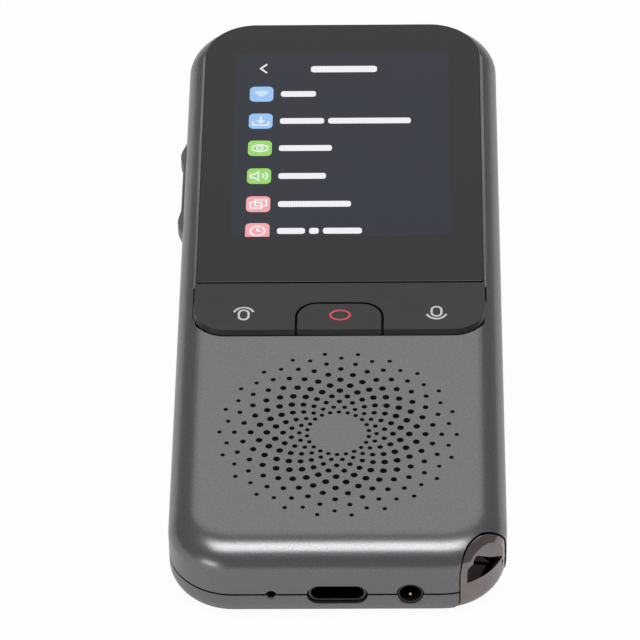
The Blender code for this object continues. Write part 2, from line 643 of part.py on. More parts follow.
def front_shell(finish):
    """Build the front shell: form, cavity, pocket for glass and keys, grille, bosses and openings."""
    low = PARTING_HEIGHT + SEAM_GAP / 2
    item = body_form("front_shell", low, BODY_DEPTH, 0.0, finish)
    cavity = body_form("cavity", BACK_FILLET_DEPTH, PLATE_UNDERSIDE, SIDE_WALL)
    deck_high = GLASS_TOP + FIT_GAP + SIDE_WALL
    deck_low = BAR_BOTTOM - FIT_GAP - FRONT_PLATE
    deck = block("deck", (-SIDE, deck_low, LEDGE_UNDERSIDE), (SIDE, deck_high, BODY_DEPTH))
    cut(cavity, deck)
    cut(item, cavity)
    cut(item, island("pocket", FIT_GAP, LEDGE, BODY_DEPTH + OVERRUN))
    cut(item, island("key_pocket", FIT_GAP, KEY_POCKET, LEDGE + FIT_GAP, BAR_TOP + FIT_GAP))
    half = DISPLAY_WIDTH / 2 + FIT_GAP
    corner = DISPLAY_CORNER + FIT_GAP
    window = rounded(half, DISPLAY_BOTTOM - FIT_GAP, DISPLAY_TOP + FIT_GAP, corner, corner, 2)
    cut(item, loft("window", [(window, LEDGE_UNDERSIDE - OVERRUN), (window, LEDGE + OVERRUN)]))
    for name, (x, y) in press_places().items():
        radius = PRESS_POST_RADIUS + FIT_GAP
        cut(item, bore("press_" + name, x, y, LEDGE_UNDERSIDE - OVERRUN, KEY_POCKET + OVERRUN, radius))
    rib_middle = (BAR_BOTTOM + CENTRE_KEY_LENGTH + CENTRE_KEY_GAP + BAR_TOP) / 2
    rib_top = BAR_UNDERSIDE - FIT_GAP
    half_rib = ROCK_RIB_LENGTH / 2
    weld(item, block("rib", (-ROCK_RIB_WIDTH / 2, rib_middle - half_rib, KEY_POCKET - KEY_FLOOR / 2),
                     (ROCK_RIB_WIDTH / 2, rib_middle + half_rib, rib_top)))
    inner = MESH_RADIUS + FIT_GAP
    ring = drum("ring_rib", (0.0, SPEAKER_Y), ((inner + RING_RIB_WALL, PLATE_UNDERSIDE - RING_RIB_DEPTH),
                                               (inner + RING_RIB_WALL, PLATE_UNDERSIDE + FRONT_PLATE / 2)))
    inside_skin(ring)
    cut(ring, bore("ring_bore", 0.0, SPEAKER_Y, LEDGE_UNDERSIDE - OVERRUN, BODY_DEPTH + OVERRUN,
                   inner, ROUND_STEPS))
    weld(item, ring)
    for name, (x, y) in speaker_screw_places().items():
        weld(item, boss("boss", x, y, BASKET_TOP + FIT_GAP, PLATE_UNDERSIDE + FRONT_PLATE / 2))
        cut(item, bore("bore", x, y, BASKET_TOP - OVERRUN, PLATE_UNDERSIDE))
    for name, (x, y) in frame_screw_places().items():
        cut(item, bore("bore", x, y, LEDGE_UNDERSIDE - OVERRUN, LEDGE_UNDERSIDE + SCREW_BITE + FIT_GAP))
    cut(item, grille_cutter())
    cut(item, corner_cutter("corner"))
    x, y = bracket_screw_place()
    weld(item, boss("boss", x, y, TAB_HEIGHT + TAB_THICKNESS + FIT_GAP, PLATE_UNDERSIDE + FRONT_PLATE / 2))
    cut(item, bore("bore", x, y, TAB_HEIGHT, PLATE_UNDERSIDE))
    cut(item, *socket_cutters())
    cut(item, side_key_cutter("rocker_cut", ROCKER_Y, ROCKER_LENGTH))
    cut(item, side_key_cutter("power_cut", POWER_Y, POWER_LENGTH))
    return smooth(item)


def back_shell(finish):
    """Build the back shell with its snap posts and the posts under the socket board."""
    high = PARTING_HEIGHT - SEAM_GAP / 2
    item = body_form("back_shell", 0.0, high, 0.0, finish)
    cut(item, body_form("cavity", BACK_PLATE, BODY_DEPTH - FRONT_FILLET_DEPTH, BACK_PLATE))
    outer = INNER_SIDE - FIT_GAP
    for middle in SNAP_PLACES:
        for side in (-1, 1):
            near, far = sorted((side * (outer - SNAP_WALL), side * outer))
            weld(item, block("snap", (near, middle - SNAP_LENGTH / 2, high - SNAP_RISE),
                             (far, middle + SNAP_LENGTH / 2, high + SNAP_RISE)))
            near, far = sorted((side * (outer - SNAP_WALL), side * SIDE))
            root = block("root", (near, middle - SNAP_LENGTH / 2, BACK_PLATE / 2),
                         (far, middle + SNAP_LENGTH / 2, high))
            weld(item, inside_skin(root))
    for x, y in dock_screw_places().values():
        weld(item, boss("post", x, y, BACK_PLATE / 2, DOCK_UNDERSIDE - FIT_GAP))
        cut(item, bore("bore", x, y, BACK_PLATE / 2, DOCK_TOP))
    half = JACK_REST_WIDTH / 2
    rest_low = INNER_BOTTOM + JACK_LENGTH / 4
    rest_top = SOCKET_HEIGHT - JACK_HEIGHT / 2 - FIT_GAP
    weld(item, block("jack_rest", (JACK_OFFSET - half, rest_low, BACK_PLATE / 2),
                     (JACK_OFFSET + half, rest_low + JACK_LENGTH / 2, rest_top)))
    cut(item, corner_cutter("corner"))
    cut(item, *socket_cutters())
    return smooth(item)


def screen_glass(finish):
    """Build the cover glass with its bevelled edge."""
    rings = []
    for inset, height in ((0.0, FACE - GLASS_THICKNESS), (0.0, FACE - GLASS_BEVEL), (GLASS_BEVEL, FACE)):
        outline = rounded(GLASS_WIDTH / 2 - inset, GLASS_BOTTOM + inset, GLASS_TOP - inset,
                          GLASS_BEVEL * 2 - inset, GLASS_CORNER - inset)
        rings.append((outline, height))
    return smooth(loft("screen_glass", rings, finish))


def display_module(finish):
    """Build the display panel and backlight, which fill the window under the glass."""
    outline = rounded(DISPLAY_WIDTH / 2, DISPLAY_BOTTOM, DISPLAY_TOP, DISPLAY_CORNER, DISPLAY_CORNER, 2)
    return loft("display_module", [(outline, LEDGE - DISPLAY_THICKNESS), (outline, LEDGE)], finish)


def key_bar(finish):
    """Build the wide front key: a bevelled bar with an arch cut out for the centre key."""
    rings = []
    levels = ((0.0, BAR_UNDERSIDE), (0.0, FACE - BAR_BEVEL_DEPTH), (BAR_BEVEL_REACH, FACE))
    for inset, height in levels:
        side = inset / 2
        outline = rounded(GLASS_WIDTH / 2 - side, BAR_BOTTOM + inset, BAR_TOP, BAR_CORNER - side, FIT_GAP)
        rings.append((outline, height))
    item = loft("key_bar", rings, finish)
    gap = CENTRE_KEY_GAP
    arch = rounded(CENTRE_KEY_WIDTH / 2 + gap, BAR_BOTTOM - OVERRUN, BAR_BOTTOM + CENTRE_KEY_LENGTH + gap,
                   gap, CENTRE_KEY_CORNER + gap)
    cut(item, loft("arch", [(arch, BAR_UNDERSIDE - OVERRUN), (arch, FACE + OVERRUN)]))
    for name, (x, y) in press_places().items():
        if name != "centre":
            weld(item, bore("post", x, y, BAR_UNDERSIDE - PRESS_POST_LENGTH, BAR_UNDERSIDE + BAR_BEVEL_REACH,
                            PRESS_POST_RADIUS))
    set_origin(item, (0.0, (BAR_TOP + BAR_BOTTOM) / 2, BAR_UNDERSIDE - FIT_GAP))
    return smooth(item)


def centre_key(finish):
    """Build the centre key, bevelled at the bottom edge as the bar is."""
    rings = []
    for inset, height in ((0.0, BAR_UNDERSIDE), (0.0, FACE - BAR_BEVEL_DEPTH), (BAR_BEVEL_REACH, FACE)):
        outline = rounded(CENTRE_KEY_WIDTH / 2, BAR_BOTTOM + inset, BAR_BOTTOM + CENTRE_KEY_LENGTH,
                          FIT_GAP, CENTRE_KEY_CORNER)
        rings.append((outline, height))
    item = loft("centre_key", rings, finish)
    x, y = press_places()["centre"]
    weld(item, bore("post", x, y, BAR_UNDERSIDE - PRESS_POST_LENGTH, BAR_UNDERSIDE + BAR_BEVEL_REACH,
                    PRESS_POST_RADIUS))
    set_origin(item, (x, y, BAR_UNDERSIDE))
    return smooth(item)


def key_membrane(finish):
    """Build the rubber web under the front keys, with a post down to each switch."""
    margin = MEMBRANE_MARGIN
    outline = rounded(GLASS_WIDTH / 2 - margin, BAR_BOTTOM + margin, BAR_TOP - margin / 2,
                      BAR_CORNER - margin, margin, 4)
    item = loft("key_membrane", [(outline, MEMBRANE_BOTTOM), (outline, MEMBRANE_TOP)], finish)
    for x, y in press_places().values():
        weld(item, bore("post", x, y, POST_END, MEMBRANE_TOP - MEMBRANE_THICKNESS / 2,
                        PRESS_POST_RADIUS))
    rib_middle = (BAR_BOTTOM + CENTRE_KEY_LENGTH + CENTRE_KEY_GAP + BAR_TOP) / 2
    half_width = ROCK_RIB_WIDTH / 2 + FIT_GAP
    half_length = ROCK_RIB_LENGTH / 2 + FIT_GAP
    cut(item, block("rib_cut", (-half_width, rib_middle - half_length, MEMBRANE_BOTTOM - OVERRUN),
                    (half_width, rib_middle + half_length, MEMBRANE_TOP + OVERRUN)))
    return smooth(item)


def dome_switch(name, side, body, finish):
    """Build a flat switch with a round dome, standing on z = 0."""
    half = side / 2
    item = block(name, (-half, -half, 0.0), (half, half, body), finish)
    rise = body + SWITCH_DOME_RISE
    weld(item, drum("dome", (0.0, 0.0), ((SWITCH_DOME_RADIUS, body / 2), (SWITCH_DOME_RADIUS, body),
                                         (SWITCH_DOME_RADIUS / 2, rise)), steps=SMALL_ROUND_STEPS))
    return smooth(item)


def front_switches(finish):
    """Build the three dome switches on the main board, under the membrane's posts."""
    for name, (x, y) in press_places().items():
        item = dome_switch("key_switch_" + name, SWITCH_SIDE, SWITCH_BODY, finish)
        swing(item, Matrix.Translation((x, y, SWITCH_BASE)))


def side_key(name, length, profile, nubs, finish):
    """Build a side key from its outer profile, with a flange inside the wall and nubs to its switches."""
    half = length / 2
    outline = [(-FLANGE_OUTER + SIDE_FLANGE / 2, -half)] + profile + [(-FLANGE_OUTER + SIDE_FLANGE / 2, half)]
    item = loft(name, [(outline, SIDE_KEY_LOW), (outline, SIDE_KEY_LOW + SIDE_KEY_HEIGHT)], finish)
    lip = SIDE_FLANGE_LIP
    weld(item, block("flange", (-FLANGE_OUTER, -half - lip, SIDE_KEY_LOW),
                     (-FLANGE_INNER, half + lip, SIDE_KEY_LOW + SIDE_KEY_HEIGHT + lip / 2)))
    nub_length = FLANGE_OUTER - NUB_END - FIT_GAP
    for y in nubs:
        nub = drum("nub", (0.0, 0.0), ((SIDE_NUB_RADIUS, 0.0), (SIDE_NUB_RADIUS, nub_length)),
                   steps=SMALL_ROUND_STEPS)
        weld(item, facing_side(nub, -NUB_END, y, SIDE_KEY_MID))
    return item


def rocker_profile():
    """Return the volume rocker's outer edge: low in the middle, with a bump near each end."""
    points = []
    for step in range(ROCKER_STEPS + 1):
        y = ROCKER_LENGTH * (step / ROCKER_STEPS - 1 / 2)
        from_bump = abs(abs(y) - ROCKER_BUMP_SPACING / 2) / (ROCKER_BUMP_LENGTH / 2)
        swell = math.cos(min(from_bump, 1.0) * math.pi / 2) ** 2
        edge = abs(y) - ROCKER_BUMP_SPACING / 2
        fade = max(edge / (ROCKER_LENGTH / 2 - ROCKER_BUMP_SPACING / 2), 0.0) ** 2
        rise = ROCKER_RISE * (1 - fade) + (ROCKER_BUMP_RISE - ROCKER_RISE) * swell
        points.append((-SIDE - rise, y))
    return points


def side_keys(finish):
    """Build the volume rocker and the sunk power key on the left side."""
    half = SIDE_SWITCH_SPACING / 2
    rocker = side_key("volume_rocker", ROCKER_LENGTH, rocker_profile(), (-half, half), finish)
    smooth(rocker)
    rocker.location = (0.0, ROCKER_Y, 0.0)
    set_origin(rocker, (-FLANGE_OUTER, ROCKER_Y, SIDE_KEY_MID))
    face = -SIDE + POWER_SINK
    power = side_key("power_key", POWER_LENGTH, [(face, -POWER_LENGTH / 2), (face, POWER_LENGTH / 2)],
                     (0.0,), finish)
    power.location = (0.0, POWER_Y, 0.0)
    set_origin(power, (-FLANGE_OUTER, POWER_Y, SIDE_KEY_MID))


def side_board(finish, switch_finish):
    """Build the upright board behind the side keys, and its three switches."""
    half = SIDE_SWITCH_SPACING / 2
    places = {"volume_down_switch": ROCKER_Y - half, "volume_up_switch": ROCKER_Y + half,
              "power_switch": POWER_Y}
    low = min(places.values()) - SIDE_SWITCH_SIDE / 2 - SIDE_BOARD_MARGIN
    high = max(places.values()) + SIDE_SWITCH_SIDE / 2 + SIDE_BOARD_MARGIN
    top = BOARD_UNDERSIDE - FIT_GAP
    block("side_key_board", (-SIDE_BOARD_FACE, low, top - SIDE_BOARD_HEIGHT),
          (-SIDE_BOARD_FACE + SIDE_BOARD_THICKNESS, high, top), finish)
    for name, y in places.items():
        item = dome_switch(name, SIDE_SWITCH_SIDE, SIDE_SWITCH_BODY, switch_finish)
        facing_side(item, -SIDE_BOARD_FACE - FIT_GAP, y, SIDE_KEY_MID)


def midframe(finish):
    """Build the pressed metal frame between the display and the main board."""
    half = INNER_SIDE - MIDFRAME_MARGIN
    low = GLASS_BOTTOM + MIDFRAME_MARGIN
    outline = rounded(half, low, GLASS_TOP - MIDFRAME_MARGIN, BOARD_CORNER, GLASS_CORNER, 5)
    item = loft("midframe", [(outline, MIDFRAME_UNDERSIDE), (outline, MIDFRAME_TOP)], finish)
    for name, (x, y) in frame_screw_places().items():
        cut(item, bore("bore", x, y, MIDFRAME_UNDERSIDE - OVERRUN, MIDFRAME_TOP + OVERRUN))
    return item


def main_board(finish):
    """Build the main circuit board, notched beside the side keys."""
    half = INNER_SIDE - MIDFRAME_MARGIN
    low = BAR_BOTTOM - BOARD_BOTTOM_OVERHANG
    outline = rounded(half, low, GLASS_TOP - MIDFRAME_MARGIN, BOARD_CORNER, GLASS_CORNER, 5)
    item = loft("main_board", [(outline, BOARD_UNDERSIDE), (outline, BOARD_TOP)], finish)
    reach = ROCKER_LENGTH / 2 + SIDE_FLANGE_LIP + FIT_GAP + BOARD_THICKNESS
    notch_high = POWER_Y + POWER_LENGTH / 2 + SIDE_FLANGE_LIP + FIT_GAP + BOARD_THICKNESS
    cut(item, block("notch", (-SIDE, ROCKER_Y - reach, BOARD_UNDERSIDE - OVERRUN),
                    (-NUB_END + FIT_GAP, notch_high, BOARD_TOP + OVERRUN)))
    for name, (x, y) in frame_screw_places().items():
        cut(item, bore("bore", x, y, BOARD_UNDERSIDE - OVERRUN, BOARD_TOP + OVERRUN))
    return item


def battery_top_end():
    """Return the y of the battery's upper end."""
    return GLASS_TOP - GLASS_CORNER - MIDFRAME_MARGIN


def power_parts(battery_finish, can_finish, flex_finish):
    """Build the battery, the shield can over the processor and the aerial film."""
    high = battery_top_end()
    outline = rounded(BATTERY_WIDTH / 2, high - BATTERY_LENGTH, high, BATTERY_CORNER, BATTERY_CORNER, 3)
    loft("battery", [(outline, BATTERY_UNDERSIDE), (outline, BATTERY_TOP)], battery_finish)
    middle = high - BATTERY_LENGTH / 2
    can_half = CAN_LENGTH / 2
    corner = BOARD_CORNER / 2
    outline = rounded(CAN_WIDTH / 2, middle - can_half, middle + can_half, corner, corner, 2)
    loft("shield_can", [(outline, CAN_UNDERSIDE), (outline, CAN_UNDERSIDE + CAN_HEIGHT)], can_finish)
    low = high + FIT_GAP
    block("aerial", (-ANTENNA_WIDTH / 2, low, BACK_PLATE + FIT_GAP),
          (ANTENNA_WIDTH / 2, low + ANTENNA_LENGTH, BACK_PLATE + FIT_GAP + ANTENNA_THICKNESS), flex_finish)


def speaker(mesh_finish, foam_finish, basket_finish, cone_finish, magnet_finish):
    """Build the dust mesh, the foam ring and the loudspeaker under the grille."""
    centre = (0.0, SPEAKER_Y)
    drum("speaker_mesh", centre, ((MESH_RADIUS, MESH_TOP - MESH_THICKNESS), (MESH_RADIUS, MESH_TOP)),
         mesh_finish)
    ring = drum("speaker_gasket", centre, ((BASKET_RADIUS, GASKET_TOP - GASKET_THICKNESS),
                                           (BASKET_RADIUS, GASKET_TOP)), foam_finish)
    cut(ring, bore("bore", *centre, BASKET_TOP, MESH_TOP, BASKET_RADIUS - GASKET_WALL, ROUND_STEPS))
    smooth(ring)
    flange_low = BASKET_TOP - BASKET_FLANGE
    base = BASKET_TOP - BASKET_DEPTH
    basket = drum("speaker_basket", centre, (
        (BASKET_BACK_RADIUS, base), (BASKET_RADIUS - BASKET_WALL, flange_low),
        (BASKET_RADIUS, flange_low), (BASKET_RADIUS, BASKET_TOP)), basket_finish)
    reach = SPEAKER_SCREW_X + SCREW_HOLE + BOSS_WALL / 2
    weld(basket, block("ears", (-reach, SPEAKER_Y - BASKET_EAR_WIDTH / 2, flange_low),
                       (reach, SPEAKER_Y + BASKET_EAR_WIDTH / 2, BASKET_TOP)))
    inside = BASKET_RADIUS - GASKET_WALL
    hollow = drum("hollow", centre, ((BASKET_BACK_RADIUS - BASKET_WALL, base + BASKET_WALL),
                                     (inside, flange_low), (inside, BASKET_TOP + OVERRUN)))
    cut(basket, hollow)
    for name, (x, y) in speaker_screw_places().items():
        cut(basket, bore("bore", x, y, base, BASKET_TOP + OVERRUN))
        seat = flange_low
        screw(name, x, y, seat, PLATE_UNDERSIDE - SCREW_HOLE - seat, basket_finish)
    smooth(basket)
    rim = inside - FIT_GAP
    cone = drum("speaker_cone", centre, (
        (CONE_CENTRE_RADIUS, BASKET_TOP - CONE_DEPTH), (rim, BASKET_TOP - CONE_THICKNESS), (rim, BASKET_TOP)),
        cone_finish)
    bowl = drum("bowl", centre, ((CONE_CENTRE_RADIUS, BASKET_TOP - CONE_DEPTH + CONE_THICKNESS),
                                 (rim - CONE_THICKNESS, BASKET_TOP + CONE_THICKNESS)))
    smooth(cut(cone, bowl))
    top = base - FIT_GAP
    smooth(drum("speaker_magnet", centre, ((MAGNET_RADIUS, top - MAGNET_THICKNESS), (MAGNET_RADIUS, top)),
                magnet_finish))


def dock_board(finish):
    """Build the small board that carries the charging socket and the microphone."""
    front = DOCK_FRONT
    item = block("dock_board", (-DOCK_LEFT, front, DOCK_UNDERSIDE),
                 (DOCK_RIGHT, front + DOCK_LENGTH, DOCK_TOP), finish)
    for name, (x, y) in dock_screw_places().items():
        cut(item, bore("bore", x, y, DOCK_UNDERSIDE - OVERRUN, DOCK_TOP + OVERRUN))
    return item


def usb_socket(metal, plastic, rubber):
    """Build the charging socket: metal shell, tongue and the rubber ring behind the wall."""
    start = BOTTOM + USB_RECESS
    outer = stadium(USB_WIDTH / 2, USB_HEIGHT / 2)
    inner = stadium(USB_WIDTH / 2 - USB_WALL, USB_HEIGHT / 2 - USB_WALL)
    shell = loft("usb_shell", [(outer, 0.0), (outer, USB_LENGTH)], metal)
    cut(shell, loft("inside", [(inner, -OVERRUN), (inner, USB_LENGTH + OVERRUN)]))
    smooth(facing_end(shell, 0.0, start, SOCKET_HEIGHT))
    room = USB_WALL + FIT_GAP
    plug = stadium(USB_WIDTH / 2 - room, USB_HEIGHT / 2 - room)
    tongue = loft("usb_tongue", [(plug, USB_LENGTH - TONGUE_BASE), (plug, USB_LENGTH)], plastic)
    tip = USB_LENGTH - TONGUE_BASE - TONGUE_LENGTH
    weld(tongue, block("blade", (-TONGUE_WIDTH / 2, -TONGUE_THICKNESS / 2, tip),
                       (TONGUE_WIDTH / 2, TONGUE_THICKNESS / 2, USB_LENGTH - TONGUE_BASE / 2)))
    facing_end(tongue, 0.0, start, SOCKET_HEIGHT)
    hole = stadium(USB_WIDTH / 2 + FIT_GAP, USB_HEIGHT / 2 + FIT_GAP)
    rim_drop = DOCK_TOP + FIT_GAP
    rim_half = SOCKET_HEIGHT - rim_drop
    margin = USB_GASKET_MARGIN
    ring = block("usb_gasket", (-USB_WIDTH / 2 - margin, -rim_half, 0.0),
                 (USB_WIDTH / 2 + margin, USB_HEIGHT / 2 + margin, USB_GASKET_THICKNESS), rubber)
    cut(ring, loft("hole", [(hole, -OVERRUN), (hole, USB_GASKET_THICKNESS + OVERRUN)]))
    facing_end(ring, 0.0, INNER_BOTTOM + FIT_GAP, SOCKET_HEIGHT)


def audio_jack(plastic, gold):
    """Build the headphone jack and its contact spring."""
    front = INNER_BOTTOM + FIT_GAP
    low = SOCKET_HEIGHT - JACK_HEIGHT / 2
    item = block("audio_jack", (JACK_OFFSET - JACK_WIDTH / 2, front, low),
                 (JACK_OFFSET + JACK_WIDTH / 2, front + JACK_LENGTH, low + JACK_HEIGHT), plastic)
    depth = JACK_LENGTH - JACK_BACK_WALL
    hole = drum("bore", (0.0, 0.0), ((JACK_BORE_RADIUS, 0.0), (JACK_BORE_RADIUS, depth + OVERRUN)),
                steps=2 * SMALL_ROUND_STEPS)
    cut(item, facing_end(hole, JACK_OFFSET, front - OVERRUN, SOCKET_HEIGHT))
    smooth(item)
    drop = SOCKET_HEIGHT - JACK_BORE_RADIUS + FIT_GAP
    block("jack_contact", (JACK_OFFSET - CONTACT_WIDTH / 2, front + depth - CONTACT_LENGTH - FIT_GAP, drop),
          (JACK_OFFSET + CONTACT_WIDTH / 2, front + depth - FIT_GAP, drop + CONTACT_THICKNESS), gold)


def microphone(metal, rubber):
    """Build the microphone in its rubber boot, behind the pinhole."""
    front = INNER_BOTTOM + FIT_GAP
    room = MIC_RADIUS + FIT_GAP
    low = DOCK_TOP + FIT_GAP - SOCKET_HEIGHT
    length = MIC_BOOT_FACE + FIT_GAP + MIC_LENGTH
    boot = block("mic_boot", (-room - MIC_BOOT_WALL, low, 0.0),
                 (room + MIC_BOOT_WALL, room + MIC_BOOT_WALL, length), rubber)
    cut(boot, bore("cup", 0.0, 0.0, MIC_BOOT_FACE, length + OVERRUN, room))
    cut(boot, bore("pin", 0.0, 0.0, -OVERRUN, length, MIC_HOLE_RADIUS))
    smooth(facing_end(boot, -MIC_OFFSET, front, SOCKET_HEIGHT))
    can = drum("microphone", (0.0, 0.0), ((MIC_RADIUS, 0.0), (MIC_RADIUS, MIC_LENGTH)), metal,
               SMALL_ROUND_STEPS)
    smooth(facing_end(can, -MIC_OFFSET, front + MIC_BOOT_FACE + FIT_GAP, SOCKET_HEIGHT))


def lanyard_bracket(finish, screw_finish):
    """Build the chrome corner: an arch with a scooped window above a strap post, and a screw tab."""
    half = BRACKET_HALF_WIDTH - FIT_GAP
    crown = BRACKET_TOP - FIT_GAP
    item = body_form("lanyard_bracket", BRACKET_SINK, BODY_DEPTH - BRACKET_SINK, BRACKET_SINK, finish)
    reach = BOTTOM_CORNER + OVERRUN
    combine(item, to_corner(arch_form("arch", half, crown, BRACKET_INNER, reach)), "INTERSECT")
    window_half = half - BRACKET_RIM
    window = arch_form("window", window_half, crown - BRACKET_RIM, BRACKET_INNER + BRACKET_BACK_WALL, reach)
    below = block("below", (0.0, -half, -2 * OVERRUN), (reach, half, BAR_POST_HEIGHT))
    cut(window, below, scoop(half))
    well_outer = BOTTOM_CORNER - BRACKET_SINK - BAR_POST_THICKNESS
    well = block("well", (BRACKET_INNER + BRACKET_BACK_WALL, -window_half, -OVERRUN),
                 (well_outer, window_half, BAR_POST_HEIGHT + OVERRUN / 2))
    cut(well, scoop(half))
    cut(item, to_corner(window))
    cut(item, to_corner(well))
    tab = block("tab", (BRACKET_INNER - TAB_LENGTH, -TAB_WIDTH / 2, TAB_HEIGHT),
                (BRACKET_INNER + BRACKET_BACK_WALL / 2, TAB_WIDTH / 2, TAB_HEIGHT + TAB_THICKNESS))
    weld(item, to_corner(tab))
    x, y = bracket_screw_place()
    cut(item, bore("bore", x, y, TAB_HEIGHT - OVERRUN, TAB_HEIGHT + TAB_THICKNESS + OVERRUN))
    smooth(item)
    screw("bracket_screw", x, y, TAB_HEIGHT, TAB_THICKNESS + FIT_GAP + 2 * SCREW_BITE, screw_finish)


def build():
    """Build the whole translator."""
    clear_scene()
    shell_grey = material("shell_grey", (0.17, 0.165, 0.17), 0.42, 0.55)
    gloss_black = material("gloss_black", (0.035, 0.035, 0.036), 0.16)
    key_black = material("key_black", (0.05, 0.05, 0.05), 0.34)
    panel_grey = material("panel_grey", (0.05, 0.055, 0.065), 0.5)
    rubber_black = material("rubber_black", (0.02, 0.02, 0.02), 0.75)
    board_green = material("board_green", (0.02, 0.12, 0.05), 0.5)
    steel = material("steel", (0.55, 0.55, 0.56), 0.32, 1.0)
    gold = material("gold", (0.8, 0.55, 0.2), 0.25, 1.0)
    dark_chrome = material("dark_chrome", (0.28, 0.24, 0.24), 0.14, 1.0)
    battery_silver = material("battery_silver", (0.35, 0.36, 0.38), 0.4, 0.6)
    foam = material("foam", (0.03, 0.03, 0.03), 0.9)

    front_shell(shell_grey)
    back_shell(shell_grey)
    screen_glass(gloss_black)
    display_module(panel_grey)
    key_bar(key_black)
    centre_key(key_black)
    key_membrane(rubber_black)
    front_switches(steel)
    side_keys(key_black)
    side_board(board_green, steel)
    midframe(steel)
    main_board(board_green)
    power_parts(battery_silver, steel, gold)
    speaker(foam, foam, steel, rubber_black, steel)
    dock_board(board_green)
    usb_socket(steel, rubber_black, rubber_black)
    audio_jack(rubber_black, gold)
    microphone(steel, rubber_black)
    lanyard_bracket(dark_chrome, steel)
    for name, (x, y) in frame_screw_places().items():
        screw(name, x, y, BOARD_UNDERSIDE, LEDGE_UNDERSIDE + SCREW_BITE - BOARD_UNDERSIDE, steel)
    for name, (x, y) in dock_screw_places().items():
        screw(name, x, y, DOCK_TOP, DOCK_TOP - BACK_PLATE / 2 - FIT_GAP, steel, downwards=True)


build()
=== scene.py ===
"""Looks of the handheld translator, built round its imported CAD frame.

Every length is in metres, in the frame of the CAD model: the origin is the centre of the flat back
face, +X is the right-hand side, +Y the screen end, and +Z points out of the screen.
"""
import logging
import math
from collections.abc import Callable, Iterable, Sequence
from dataclasses import dataclass
from enum import Enum

import bmesh
import bpy
from mathutils import Matrix, Vector


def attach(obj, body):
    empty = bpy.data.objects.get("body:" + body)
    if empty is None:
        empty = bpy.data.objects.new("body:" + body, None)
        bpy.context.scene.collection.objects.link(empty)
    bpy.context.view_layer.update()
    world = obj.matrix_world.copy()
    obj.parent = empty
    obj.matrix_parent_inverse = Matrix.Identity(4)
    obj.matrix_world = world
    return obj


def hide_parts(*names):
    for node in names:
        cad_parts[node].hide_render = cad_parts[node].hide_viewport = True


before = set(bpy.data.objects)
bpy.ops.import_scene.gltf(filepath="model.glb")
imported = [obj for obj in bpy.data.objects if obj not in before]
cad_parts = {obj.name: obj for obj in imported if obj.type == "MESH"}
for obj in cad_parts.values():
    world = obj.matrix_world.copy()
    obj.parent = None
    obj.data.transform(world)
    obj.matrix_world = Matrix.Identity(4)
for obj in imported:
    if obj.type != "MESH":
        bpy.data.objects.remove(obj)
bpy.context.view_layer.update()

LOG = logging.getLogger("translator")
MM = 0.001
SHARP = math.radians(32)
Point = tuple[float, float, float]
Colour = tuple[float, float, float]
Piece = bpy.types.Object
Finish = bpy.types.Material
Form = bmesh.types.BMesh
Edge = bmesh.types.BMEdge
TreeNode = bpy.types.Node


class Body(Enum):
    """The moving groups of the CAD model."""

    CASE = "case"
    BAR = "front_rocker"
    CENTRE = "middle_key"
    VOLUME = "side_rocker"
    POWER = "side_power"


class Operation(Enum):
    """The ways in which one closed mesh acts on another."""

    CUT = "DIFFERENCE"
    JOIN = "UNION"
    KEEP = "INTERSECT"


def srgb(red: float, green: float, blue: float) -> Colour:
    """Turn screen colour values into the linear ones that a shader takes.

    Args:
        red: Red, from 0 to 255.
        green: Green, from 0 to 255.
        blue: Blue, from 0 to 255.

    Returns:
        The linear colour.
    """
    shares = [value / 255 for value in (red, green, blue)]
    linear = [share / 12.92 if share <= 0.04045 else ((share + 0.055) / 1.055) ** 2.4 for share in shares]
    return linear[0], linear[1], linear[2]


